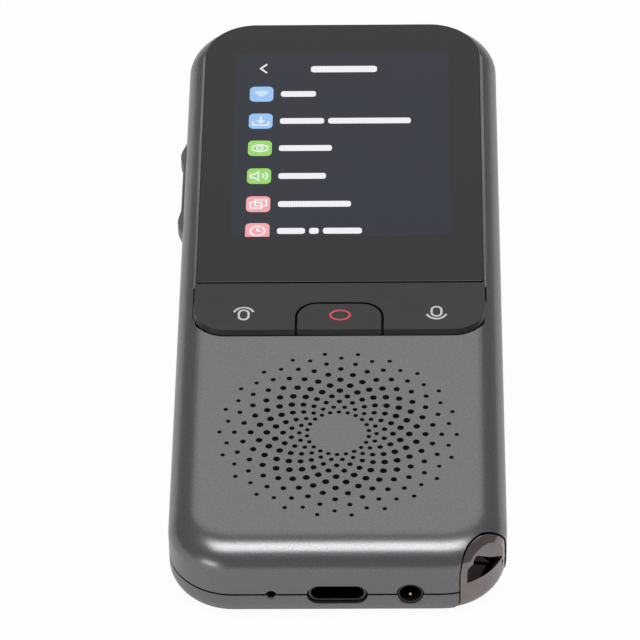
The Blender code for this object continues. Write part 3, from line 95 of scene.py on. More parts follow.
class Nodes:
    """A short way to write a material's node tree."""

    def __init__(self, name: str) -> None:
        """Start a material with an empty tree and a Principled shader.

        Args:
            name: The material's name.
        """
        self.material = bpy.data.materials.new(name)
        self.material.use_nodes = True
        self.tree = self.material.node_tree
        self.tree.nodes.clear()
        self.output = self.tree.nodes.new("ShaderNodeOutputMaterial")
        self.shader = self.tree.nodes.new("ShaderNodeBsdfPrincipled")
        self.link(self.shader, "BSDF", self.output, "Surface")
        self.place = self.tree.nodes.new("ShaderNodeTexCoord")

    def link(self, source: TreeNode, out: str | int, target: TreeNode, into: str | int) -> None:
        """Join an output to an input."""
        self.tree.links.new(source.outputs[out], target.inputs[into])

    def constants(self, **values: float | tuple) -> None:
        """Set the shader's own sockets; an underscore stands for a space in a socket's name."""
        for name, value in values.items():
            self.shader.inputs[name.replace("_", " ")].default_value = value

    def texture(self, kind: str, scale: float, stretch: Point = (1.0, 1.0, 1.0)) -> TreeNode:
        """Return a texture node of a scale on the object's own coordinates, which may be stretched."""
        mapping = self.tree.nodes.new("ShaderNodeMapping")
        mapping.inputs["Scale"].default_value = stretch
        self.link(self.place, "Object", mapping, "Vector")
        node = self.tree.nodes.new(kind)
        node.inputs["Scale"].default_value = scale
        self.link(mapping, "Vector", node, "Vector")
        return node

    def noise(self, scale: float, detail: float = 3.0, stretch: Point = (1.0, 1.0, 1.0)) -> TreeNode:
        """Return a noise texture whose grain is 1/scale metres across.

        Args:
            scale: The texture's scale.
            detail: How many finer layers it has.
            stretch: How much each axis is stretched.

        Returns:
            The Noise Texture node.
        """
        node = self.texture("ShaderNodeTexNoise", scale, stretch)
        node.inputs["Detail"].default_value = detail
        return node

    def cells(self, scale: float) -> TreeNode:
        """Return a cell texture whose cells are 1/scale metres across."""
        return self.texture("ShaderNodeTexVoronoi", scale)

    def stripes(self, scale: float, axis: str = "X") -> TreeNode:
        """Return straight bands across one axis."""
        node = self.texture("ShaderNodeTexWave", scale)
        node.bands_direction = axis
        return node

    def ramp(self, source: TreeNode, out: str | int, stops: Sequence[tuple[float, Colour]],
             into: str = "Base Color") -> None:
        """Send a value through a colour ramp to one of the shader's sockets.

        Args:
            source: The node that gives the value.
            out: Its output.
            stops: Places and colours on the ramp.
            into: The shader's socket.
        """
        node = self.tree.nodes.new("ShaderNodeValToRGB")
        while len(node.color_ramp.elements) < len(stops):
            node.color_ramp.elements.new(0.5)
        for element, (place, colour) in zip(node.color_ramp.elements, stops):
            element.position = place
            element.color = (*colour, 1.0)
        self.link(source, out, node, "Fac")
        self.link(node, "Color", self.shader, into)

    def spread(self, source: TreeNode, out: str | int, low: float, high: float) -> None:
        """Send a value, spread between two limits, to the shader's roughness."""
        node = self.tree.nodes.new("ShaderNodeMapRange")
        node.inputs["To Min"].default_value = low
        node.inputs["To Max"].default_value = high
        self.link(source, out, node, "Value")
        self.link(node, "Result", self.shader, "Roughness")

    def bump(self, source: TreeNode, out: str | int, height: float, strength: float = 1.0) -> None:
        """Raise the surface by a texture.

        Args:
            source: The node that gives the height.
            out: Its output.
            height: The height of a full step, in metres.
            strength: How much of it shows.
        """
        node = self.tree.nodes.new("ShaderNodeBump")
        node.inputs["Distance"].default_value = height
        node.inputs["Strength"].default_value = strength
        self.link(source, out, node, "Height")
        self.link(node, "Normal", self.shader, "Normal")


@dataclass(frozen=True)
class Paint:
    """Satin metallic paint with a fine fleck under it."""

    name: str = "shell_paint"
    dark: Colour = srgb(112, 110, 113)
    light: Colour = srgb(130, 128, 131)
    metallic: float = 0.88
    fleck: float = 5200.0
    cloud: float = 90.0
    gloss: tuple[float, float] = (0.25, 0.31)

    def build(self) -> Finish:
        """Return the material."""
        nodes = Nodes(self.name)
        nodes.constants(Metallic=self.metallic)
        fleck = nodes.noise(self.fleck, 2.0)
        nodes.ramp(fleck, "Fac", ((0.3, self.dark), (0.7, self.light)))
        nodes.spread(nodes.noise(self.cloud, 4.0), "Fac", *self.gloss)
        nodes.bump(nodes.noise(self.fleck / 2, 2.0), "Fac", 0.006 * MM, 0.6)
        return nodes.material


@dataclass(frozen=True)
class Plastic:
    """Moulded plastic or rubber: a base colour with a fine grain."""

    name: str
    colour: Colour
    roughness: float
    grain: float = 4200.0
    depth: float = 0.004 * MM
    coat: float = 0.0

    def build(self) -> Finish:
        """Return the material."""
        nodes = Nodes(self.name)
        nodes.constants(Coat_Weight=self.coat, Coat_Roughness=0.08)
        lighter = tuple(min(value * 1.18 + 0.001, 1.0) for value in self.colour)
        nodes.ramp(nodes.noise(260.0, 5.0), "Fac", ((0.3, self.colour), (0.75, lighter)))
        nodes.spread(nodes.noise(700.0, 3.0), "Fac", self.roughness * 0.9, self.roughness * 1.12)
        nodes.bump(nodes.noise(self.grain, 2.0), "Fac", self.depth)
        return nodes.material


@dataclass(frozen=True)
class BlackGlass:
    """Cover glass with a black print behind it and faint finger marks on it."""

    name: str = "cover_glass"
    colour: Colour = srgb(8, 8, 9)

    def build(self) -> Finish:
        """Return the material."""
        nodes = Nodes(self.name)
        nodes.constants(IOR=1.42)
        lighter = tuple(value * 1.1 for value in self.colour)
        nodes.ramp(nodes.noise(60.0, 4.0), "Fac", ((0.35, self.colour), (0.7, lighter)))
        nodes.spread(nodes.noise(110.0, 5.0), "Fac", 0.05, 0.13)
        return nodes.material


@dataclass(frozen=True)
class Glow:
    """Lit picture elements of the screen, with the fine grid of the panel in them."""

    name: str
    colour: Colour
    strength: float
    base: Colour = (0.002, 0.002, 0.003)
    pitch: float = 0.153 * MM

    def build(self) -> Finish:
        """Return the material."""
        nodes = Nodes(self.name)
        nodes.constants(IOR=1.42, Base_Color=(*self.base, 1.0), Emission_Strength=self.strength)
        dimmer = tuple(value * 0.86 for value in self.colour)
        columns = nodes.stripes(0.5 / self.pitch / 3.14159, "X")
        nodes.ramp(columns, "Fac", ((0.0, dimmer), (0.45, self.colour)), "Emission Color")
        nodes.spread(nodes.noise(110.0, 5.0), "Fac", 0.05, 0.12)
        return nodes.material


@dataclass(frozen=True)
class Metal:
    """Bare or plated metal, plain or brushed along one axis."""

    name: str
    colour: Colour
    roughness: float
    brushed: Point = (1.0, 1.0, 1.0)
    grain: float = 900.0
    depth: float = 0.002 * MM

    def build(self) -> Finish:
        """Return the material."""
        nodes = Nodes(self.name)
        nodes.constants(Metallic=1.0)
        darker = tuple(value * 0.86 for value in self.colour)
        grain = nodes.noise(self.grain, 4.0, self.brushed)
        nodes.ramp(grain, "Fac", ((0.3, darker), (0.65, self.colour)))
        nodes.spread(grain, "Fac", self.roughness * 0.75, self.roughness * 1.25)
        nodes.bump(grain, "Fac", self.depth, 0.5)
        return nodes.material


@dataclass(frozen=True)
class Board:
    """Circuit board: solder mask over faint copper tracks."""

    name: str = "circuit_board"
    mask: Colour = (0.012, 0.09, 0.035)
    track: Colour = (0.03, 0.17, 0.06)

    def build(self) -> Finish:
        """Return the material."""
        nodes = Nodes(self.name)
        nodes.constants(Coat_Weight=0.4, Coat_Roughness=0.15)
        cells = nodes.cells(420.0)
        nodes.ramp(cells, "Distance", ((0.35, self.mask), (0.42, self.track)))
        nodes.spread(nodes.noise(500.0), "Fac", 0.35, 0.55)
        nodes.bump(cells, "Distance", 0.02 * MM, 0.4)
        return nodes.material


@dataclass(frozen=True)
class Mesh:
    """Fine woven dust mesh behind the speaker grille."""

    name: str = "dust_mesh"
    colour: Colour = srgb(26, 26, 28)
    thread: Colour = srgb(74, 74, 78)
    pitch: float = 0.16 * MM

    def build(self) -> Finish:
        """Return the material."""
        nodes = Nodes(self.name)
        scale = 0.5 / self.pitch / 3.14159
        across = nodes.stripes(scale, "X")
        along = nodes.stripes(scale, "Y")
        crossed = nodes.tree.nodes.new("ShaderNodeMath")
        crossed.operation = "MULTIPLY"
        nodes.link(across, "Fac", crossed, 0)
        nodes.link(along, "Fac", crossed, 1)
        nodes.ramp(crossed, "Value", ((0.1, self.colour), (0.85, self.thread)))
        nodes.spread(crossed, "Value", 0.8, 0.5)
        nodes.bump(crossed, "Value", 0.04 * MM)
        return nodes.material


def link(name: str, mesh: bpy.types.Mesh) -> Piece:
    """Put a mesh into the scene as an object at the origin."""
    item = bpy.data.objects.new(name, mesh)
    bpy.context.scene.collection.objects.link(item)
    return item


def solid(name: str, bm: Form) -> Piece:
    """Turn a bmesh into an object, with its faces pointing outwards.

    Args:
        name: The object's name.
        bm: The mesh in the making, which is used up.

    Returns:
        The object.
    """
    bmesh.ops.remove_doubles(bm, verts=bm.verts[:], dist=1e-7)
    bmesh.ops.recalc_face_normals(bm, faces=bm.faces[:])
    mesh = bpy.data.meshes.new(name)
    bm.to_mesh(mesh)
    bm.free()
    return link(name, mesh)


def carve(item: Piece, other: Piece, operation: Operation) -> Piece:
    """Let one closed object act on another, and remove the second.

    Args:
        item: The object that is changed.
        other: The object that is used up.
        operation: What it does.

    Returns:
        The changed object.
    """
    step = item.modifiers.new(operation.name, "BOOLEAN")
    step.operation = operation.value
    step.solver = "EXACT"
    step.object = other
    bpy.context.view_layer.update()
    made = bpy.data.meshes.new_from_object(item.evaluated_get(bpy.context.evaluated_depsgraph_get()))
    item.modifiers.remove(step)
    before = item.data
    item.data = made
    made.name = item.name
    bpy.data.meshes.remove(before)
    used = other.data
    bpy.data.objects.remove(other)
    bpy.data.meshes.remove(used)
    return item


def cut(item: Piece, *others: Piece) -> Piece:
    """Cut each of the other objects out of one."""
    for other in others:
        carve(item, other, Operation.CUT)
    return item


def shade(item: Piece) -> Piece:
    """Shade an object smooth, with its sharp edges kept."""
    item.data.shade_smooth()
    item.data.set_sharp_from_angle(angle=SHARP)
    even = item.modifiers.new("even_shading", "WEIGHTED_NORMAL")
    even.keep_sharp = True
    return item


def soften(item: Piece, width: float, segments: int = 3) -> Piece:
    """Round an object's sharp edges with a live bevel."""
    item.data.validate()
    step = item.modifiers.new("soft_edges", "BEVEL")
    step.width = width
    step.segments = segments
    step.limit_method = "ANGLE"
    step.angle_limit = SHARP
    step.harden_normals = True
    return item


def dress(item: Piece, material: Finish, body: Body, slot: str, *replaced: str) -> Piece:
    """Give a piece its finish and its body, and hide the CAD nodes that it stands for.

    Args:
        item: The piece.
        material: Its finish.
        body: The body that it moves with.
        slot: The record's material slot; it is not used.
        *replaced: The CAD nodes that it stands for.

    Returns:
        The piece.
    """
    item.data.materials.clear()
    item.data.materials.append(material)
    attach(item, body.value)
    if replaced:
        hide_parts(*replaced)
    LOG.info("%s: %d faces", item.name, len(item.data.polygons))
    return item


def box(low: Point, high: Point) -> Form:
    """Start a bmesh as a box between two corners."""
    bm = bmesh.new()
    size = Vector(high) - Vector(low)
    middle = (Vector(high) + Vector(low)) / 2
    bmesh.ops.create_cube(bm, size=1.0, matrix=Matrix.Translation(middle) @ Matrix.Diagonal((*size, 1.0)))
    return bm


def round_edges(bm: Form, edges: Iterable[Edge], radius: float, segments: int) -> None:
    """Round some edges over with an arc."""
    bmesh.ops.bevel(bm, geom=list(edges), offset=radius, offset_type="OFFSET", segments=segments,
                    profile=0.5, affect="EDGES", material=-1, clamp_overlap=False)


def upright(bm: Form, test: Callable[[Vector], bool]) -> list[Edge]:
    """Return the edges along Z whose middle passes a test."""
    return [edge for edge in bm.edges
            if abs((edge.verts[0].co - edge.verts[1].co).normalized().z) > 0.999
            and test((edge.verts[0].co + edge.verts[1].co) / 2)]


def rim(bm: Form, height: float) -> list[Edge]:
    """Return the edges round the outline at a height: each joins a level face to a steep one."""
    found = []
    for edge in bm.edges:
        if all(abs(vert.co.z - height) < 1e-6 for vert in edge.verts) and len(edge.link_faces) == 2:
            flats = [abs(face.normal.z) > 0.99 for face in edge.link_faces]
            if flats[0] != flats[1]:
                found.append(edge)
    return found


def drum(centre: tuple[float, float], radius: float, low: float, high: float, steps: int = 32,
         top_radius: float | None = None) -> Form:
    """Start a bmesh as an upright cylinder or cone.

    Args:
        centre: Its axis.
        radius: Its radius at the bottom.
        low: Its lowest height.
        high: Its highest height.
        steps: How many sides it has.
        top_radius: Its radius at the top, if that differs.

    Returns:
        The bmesh.
    """
    bm = bmesh.new()
    bmesh.ops.create_cone(bm, cap_ends=True, segments=steps, radius1=radius,
                          radius2=radius if top_radius is None else top_radius, depth=high - low,
                          matrix=Matrix.Translation((*centre, (low + high) / 2)))
    return bm


@dataclass(frozen=True)
class Outline:
    """A rounded rectangle, mirrored about x = 0, with its own corner radius at each end."""

    half_width: float
    low: float
    high: float
    low_radius: float
    high_radius: float
    segments: int = 16

    def grown(self, by: float) -> "Outline":
        """Return the outline widened on every side."""
        return Outline(self.half_width + by, self.low - by, self.high + by, self.low_radius + by,
                       self.high_radius + by, self.segments)

    def slab(self, bottom: float, top: float) -> Form:
        """Start a bmesh as a slab of this outline between two heights."""
        bm = box((-self.half_width, self.low, bottom), (self.half_width, self.high, top))
        middle = (self.low + self.high) / 2
        for radius, test in ((self.low_radius, lambda place: place.y < middle),
                             (self.high_radius, lambda place: place.y > middle)):
            edges = [edge for edge in upright(bm, test) if abs(edge.verts[0].co.x) > self.half_width - 1e-6]
            round_edges(bm, edges, radius, self.segments)
        return bm


@dataclass
class Sizes:
    """The sizes that several pieces share."""

    side: float = 26.6 * MM
    bottom: float = -67.5 * MM
    top: float = 67.5 * MM
    depth: float = 14.0 * MM
    face: float = 14.6 * MM
    bottom_corner: float = 10.3 * MM
    top_corner: float = 11.3 * MM
    seam: float = 5.25 * MM
    seam_gap: float = 0.3 * MM
    wall: float = 1.5 * MM
    plate: float = 1.3 * MM
    gap: float = 0.3 * MM
    glass_half: float = 23.8 * MM
    bar_bottom: float = -16.3 * MM
    bar_top: float = -4.25 * MM
    glass_bottom: float = -3.93 * MM
    glass_top: float = 64.3 * MM
    bar_corner: float = 5.25 * MM
    glass_corner: float = 8.75 * MM
    ledge: float = 13.3 * MM
    ledge_under: float = 10.9 * MM
    key_pocket: float = 11.6 * MM
    front_reach: float = 5.5 * MM
    front_drop: float = 4.5 * MM
    back_reach: float = 3.7 * MM
    speaker_y: float = -39.9 * MM
    side_key_low: float = 6.1 * MM
    side_key_high: float = 8.9 * MM
    rocker_y: float = 26.95 * MM
    rocker_length: float = 24.7 * MM
    power_y: float = 49.4 * MM
    power_length: float = 4.8 * MM
    usb_half: tuple[float, float] = (4.47 * MM, 1.63 * MM)
    jack_x: float = 11.4 * MM
    jack_radius: float = 2.05 * MM
    mic_x: float = -10.35 * MM
    mic_radius: float = 0.72 * MM
    bracket_half: float = 5.1 * MM
    bracket_crown: float = 13.3 * MM
    bracket_inner: float = 3.6 * MM
    arch_peak: float = 0.2 * MM
    arch_extra: float = 0.9 * MM
    arch_end: tuple[float, float] = (2.5, 8.3 * MM)
    arch_side: tuple[float, float] = (2.0, 6.3 * MM)
    arch_steps: int = 48
    clear: float = 2.0 * MM

    def body_outline(self) -> Outline:
        """Return the outline of the whole body."""
        return Outline(self.side, self.bottom, self.top, self.bottom_corner, self.top_corner, 24)

    def island(self, grow: float) -> Outline:
        """Return the outline that the glass and the key bar fill together."""
        return Outline(self.glass_half, self.bar_bottom, self.glass_top, self.bar_corner,
                       self.glass_corner, 16).grown(grow)

    def half_body(self, name: str, low: float, high: float, shrink: float = 0.0,
                  seam_edge: float = 0.0, segments: int = 12) -> Piece:
        """Build one half of the body: the front half where it ends at the top, else the back half.

        The front fillet is an ellipse: the half is stretched, rounded with a plain arc and
        pressed back. Both halves may have a narrow bevel where they meet.

        Args:
            name: The object's name.
            low: The lower height.
            high: The upper height.
            shrink: How far the form lies inside the body's surface.
            seam_edge: The width of the bevel at the seam.
            segments: How many steps the fillet has.

        Returns:
            The object.
        """
        front = high > self.seam + self.seam_gap
        curved, straight = (high, low) if front else (low, high)
        reach = (self.front_reach if front else self.back_reach) - shrink
        drop = (self.front_drop if front else self.back_reach) - shrink
        stretch = reach / drop
        far = curved + (straight - curved) * stretch
        bm = self.body_outline().grown(-shrink).slab(min(curved, far), max(curved, far))
        round_edges(bm, rim(bm, curved), reach, segments)
        move = Matrix.Translation((0, 0, curved))
        bmesh.ops.transform(bm, matrix=move @ Matrix.Scale(1 / stretch, 4, (0, 0, 1)) @ move.inverted(),
                            verts=bm.verts[:])
        if seam_edge > 0:
            bm.normal_update()
            round_edges(bm, rim(bm, straight), seam_edge, 2)
        return solid(name, bm)

    def to_corner(self, item: Piece) -> Piece:
        """Turn a solid built about the X axis outwards through the lower right corner."""
        centre = (self.side - self.bottom_corner, self.bottom + self.bottom_corner, 0.0)
        item.data.transform(Matrix.Translation(centre) @ Matrix.Rotation(math.radians(-45), 4, "Z"))
        return item

    def arch(self, name: str, half: float, crown: float, inner: float, outer: float) -> Piece:
        """Build an arch that runs outwards through the corner.

        Its crown is lopsided: full on the side of the bottom end, and sloping on the other side.

        Args:
            name: The object's name.
            half: Half of its width.
            crown: The height of its top.
            inner: The distance from the corner's centre where it starts.
            outer: The distance where it ends.

        Returns:
            The object, in its place in the corner.
        """
        bm = bmesh.new()
        reaches = (half + self.arch_peak, half + self.arch_extra - self.arch_peak)
        ends = (half + self.arch_extra, -half)
        outline = [bm.verts.new((inner, aside, -self.clear)) for aside in ends]
        for step in range(self.arch_steps + 1):
            across = -math.cos(math.pi * step / self.arch_steps)
            power, spring = self.arch_end if across < 0 else self.arch_side
            rise = math.sqrt(max(1 - across * across, 0.0)) ** (2 / power)
            out = math.copysign(abs(across) ** (2 / power), across)
            aside = reaches[across >= 0] * out + self.arch_peak
            outline.append(bm.verts.new((inner, aside, spring + (crown - spring) * rise)))
        face = bm.faces.new(outline)
        made = bmesh.ops.extrude_face_region(bm, geom=[face])
        bmesh.ops.translate(bm, verts=[part for part in made["geom"] if isinstance(part, bmesh.types.BMVert)],
                            vec=(outer - inner, 0.0, 0.0))
        return self.to_corner(solid(name, bm))

    def along_y(self, item: Piece, x: float, y: float) -> Piece:
        """Turn a solid built upwards so that its axis runs along +Y, at the sockets' height."""
        turn = Matrix(((1, 0, 0), (0, 0, 1), (0, 1, 0))).to_4x4()
        item.data.transform(Matrix.Translation((x, y, self.seam)) @ turn)
        item.data.flip_normals()
        return item

    def slot_bar(self, half_width: float, half_height: float, low: float, high: float,
                 segments: int = 14) -> Form:
        """Start a bmesh as an upright bar whose section is a slot with round ends."""
        radius = half_height - 0.001 * MM
        return Outline(half_width, -half_height, half_height, radius, radius, segments).slab(low, high)

    def socket_cutters(self) -> list[Piece]:
        """Return the cuts for the three openings in the bottom end."""
        start = self.bottom - self.clear
        length = self.wall + 2 * self.clear
        slot = self.slot_bar(self.usb_half[0] + self.gap, self.usb_half[1] + self.gap, 0.0, length)
        made = [self.along_y(solid("usb_cut", slot), 0.0, start)]
        for name, x, radius in (("jack_cut", self.jack_x, self.jack_radius),
                                ("mic_cut", self.mic_x, self.mic_radius)):
            made.append(self.along_y(solid(name, drum((0.0, 0.0), radius, 0.0, length, 40)), x, start))
        for name, x, radius in (("jack_mouth", self.jack_x, self.jack_radius),
                                ("mic_mouth", self.mic_x, self.mic_radius)):
            mouth = drum((0.0, 0.0), radius + 0.3 * MM, -0.12 * MM, 0.18 * MM, 40, radius)
            made.append(self.along_y(solid(name, mouth), x, self.bottom))
        return made


SIZES = Sizes()


def arc(x: float, y: float, radius: float, start: float, end: float, steps: int = 16,
        rise: float | None = None) -> list[tuple[float, float]]:
    """Return points along an arc.

    Args:
        x: The middle's x.
        y: The middle's y.
        radius: Its radius, or half its width where rise is given.
        start: Where it starts, in degrees.
        end: Where it ends, in degrees.
        steps: How many steps it has.
        rise: Half its height, if it isn't round.

    Returns:
        The points.
    """
    tall = radius if rise is None else rise
    angles = [math.radians(start + (end - start) * step / steps) for step in range(steps + 1)]
    return [(x + radius * math.cos(angle), y + tall * math.sin(angle)) for angle in angles]


def ribbon(name: str, points: Sequence[tuple[float, float]], width: float, low: float, thickness: float,
           closed: bool = False) -> Piece:
    """Build a thin flat line with mitred corners, lying level.

    Args:
        name: Its name.
        points: The points that its middle runs through.
        width: Its width.
        low: The height of its underside.
        thickness: Its thickness.
        closed: Whether its end joins its start.

    Returns:
        The object.
    """
    path = [Vector(point) for point in points]
    count = len(path)
    bm = bmesh.new()
    pairs = []
    for index, point in enumerate(path):
        before = path[index - 1] if index or closed else point
        after = path[(index + 1) % count] if index < count - 1 or closed else point
        into = (point - before).normalized() if before != point else (after - point).normalized()
        out = (after - point).normalized() if after != point else into
        along = (into + out).normalized()
        across = Vector((-along.y, along.x))
        reach = width / 2 / max(across.dot(Vector((-into.y, into.x))), 0.5)
        pairs.append([bm.verts.new((*(point + across * side), low)) for side in (reach, -reach)])
    spans = list(zip(pairs, pairs[1:])) + ([(pairs[-1], pairs[0])] if closed else [])
    for (left, right), (next_left, next_right) in spans:
        bm.faces.new((left, right, next_right, next_left))
    top = bmesh.ops.extrude_face_region(bm, geom=bm.faces[:])
    bmesh.ops.translate(bm, verts=[part for part in top["geom"] if isinstance(part, bmesh.types.BMVert)],
                        vec=(0.0, 0.0, thickness))
    return solid(name, bm)


@dataclass
class Shells:
    """The front and back shells, which meet at a seam low on the sides."""

    grille_radii: tuple[float, ...] = (4.96, 6.15, 7.45, 8.74, 10.03, 11.33, 12.62, 13.91, 15.20, 16.50,
                                       17.79, 18.88)
    hole_widths: tuple[float, ...] = (0.77, 0.80, 0.90, 1.00, 1.12, 1.14, 1.10, 1.03, 0.94, 0.85, 0.75,
                                      0.75)
    holes_in_ring: int = 22
    turn: float = math.radians(-1.24)
    hole_steps: int = 16
    window: tuple[float, ...] = (21.65 * MM, 0.1 * MM, 61.0 * MM, 1.3 * MM, 1.3 * MM)
    key_corner: float = 0.9 * MM
    edge: float = 0.14 * MM

    def grille(self) -> Piece:
        """Return every speaker hole as one cutter: each ring is turned half a step from the last."""
        bm = bmesh.new()
        step = 2 * math.pi / self.holes_in_ring
        low = SIZES.depth - SIZES.plate - SIZES.gap
        high = SIZES.depth + SIZES.gap
        for ring, (radius, width) in enumerate(zip(self.grille_radii, self.hole_widths)):
            for index in range(self.holes_in_ring):
                angle = self.turn + step * (index + ((ring + 1) % 2) / 2)
                place = Vector((radius * MM * math.cos(angle), radius * MM * math.sin(angle) + SIZES.speaker_y,
                                (low + high) / 2))
                bmesh.ops.create_cone(bm, cap_ends=True, segments=self.hole_steps, radius1=width * MM / 2,
                                      radius2=width * MM / 2, depth=high - low,
                                      matrix=Matrix.Translation(place))
        return solid("grille_cut", bm)

    def pocket(self) -> list[Piece]:
        """Return the cuts for the glass and keys: the pocket, its bevelled mouth, floor and window."""
        above = SIZES.depth + SIZES.clear
        mouth = SIZES.island(SIZES.gap + self.edge).slab(SIZES.depth - self.edge, above)
        round_edges(mouth, rim(mouth, SIZES.depth - self.edge), self.edge, 2)
        keys = Outline(SIZES.glass_half + SIZES.gap, SIZES.bar_bottom - SIZES.gap, SIZES.glass_bottom,
                       SIZES.bar_corner + SIZES.gap, SIZES.gap)
        window = Outline(*self.window, 3)
        return [solid("pocket_cut", SIZES.island(SIZES.gap).slab(SIZES.ledge, above)),
                solid("mouth_cut", mouth),
                solid("key_cut", keys.slab(SIZES.key_pocket, SIZES.ledge + SIZES.gap)),
                solid("window_cut", window.slab(SIZES.ledge_under - SIZES.clear, above))]

    def side_cut(self, name: str, centre: float, length: float) -> Piece:
        """Return the opening for a side key, from the seam up, with rounded upper corners."""
        half = length / 2 + SIZES.gap
        high = SIZES.side_key_high + SIZES.gap
        bm = box((-SIZES.side - SIZES.clear, centre - half, SIZES.seam - SIZES.clear),
                 (-SIZES.side + SIZES.wall + SIZES.clear / 2, centre + half, high))
        edges = [edge for edge in bm.edges if all(abs(vert.co.z - high) < 1e-6 for vert in edge.verts)
                 and abs(edge.verts[0].co.y - edge.verts[1].co.y) < 1e-6]
        round_edges(bm, edges, self.key_corner, 6)
        return solid(name, bm)

    def corner_cut(self) -> Piece:
        """Return the cut for the corner bracket."""
        return SIZES.arch("corner_cut", SIZES.bracket_half, SIZES.bracket_crown,
                          SIZES.bracket_inner - SIZES.gap, SIZES.bottom_corner + SIZES.clear)

    def front(self, paint: Finish) -> Piece:
        """Build the front shell with its grille, pocket and openings.

        Args:
            paint: Its finish.

        Returns:
            The piece.
        """
        half_gap = SIZES.seam_gap / 2
        item = SIZES.half_body("front_shell_skin", SIZES.seam + half_gap, SIZES.depth, 0.0, self.edge)
        hollow = SIZES.half_body("hollow", SIZES.seam - SIZES.clear, SIZES.depth - SIZES.plate, SIZES.wall)
        deck = box((-SIZES.side, SIZES.bar_bottom - SIZES.gap - SIZES.plate, SIZES.ledge_under),
                   (SIZES.side, SIZES.glass_top + SIZES.gap + SIZES.wall, SIZES.depth))
        cut(hollow, solid("deck", deck))
        cut(item, hollow, *self.pocket(), self.grille(), self.corner_cut(), *SIZES.socket_cutters(),
            self.side_cut("rocker_cut", SIZES.rocker_y, SIZES.rocker_length),
            self.side_cut("power_cut", SIZES.power_y, SIZES.power_length))
        return dress(shade(item), paint, Body.CASE, "shell_grey", "front_shell")

    def back(self, paint: Finish) -> Piece:
        """Build the back shell.

        Args:
            paint: Its finish.

        Returns:
            The piece.
        """
        item = SIZES.half_body("back_shell_skin", 0.0, SIZES.seam - SIZES.seam_gap / 2, 0.0, self.edge)
        hollow = SIZES.half_body("hollow", SIZES.plate, SIZES.seam + SIZES.seam_gap / 2, SIZES.plate)
        cut(item, hollow, self.corner_cut(), *SIZES.socket_cutters())
        return dress(shade(item), paint, Body.CASE, "shell_grey", "back_shell")


class Glyph(Enum):
    """The small signs in the squares of the screen's list."""

    WAVES = "waves"
    TRAY = "tray"
    EYE = "eye"
    SOUND = "sound"
    CARDS = "cards"
    DIAL = "dial"


@dataclass(frozen=True)
class Row:
    """One row of the screen's list: its height, sign and bars in place of words."""

    y: float
    glyph: Glyph
    finish: str
    words: tuple[tuple[float, float], ...]


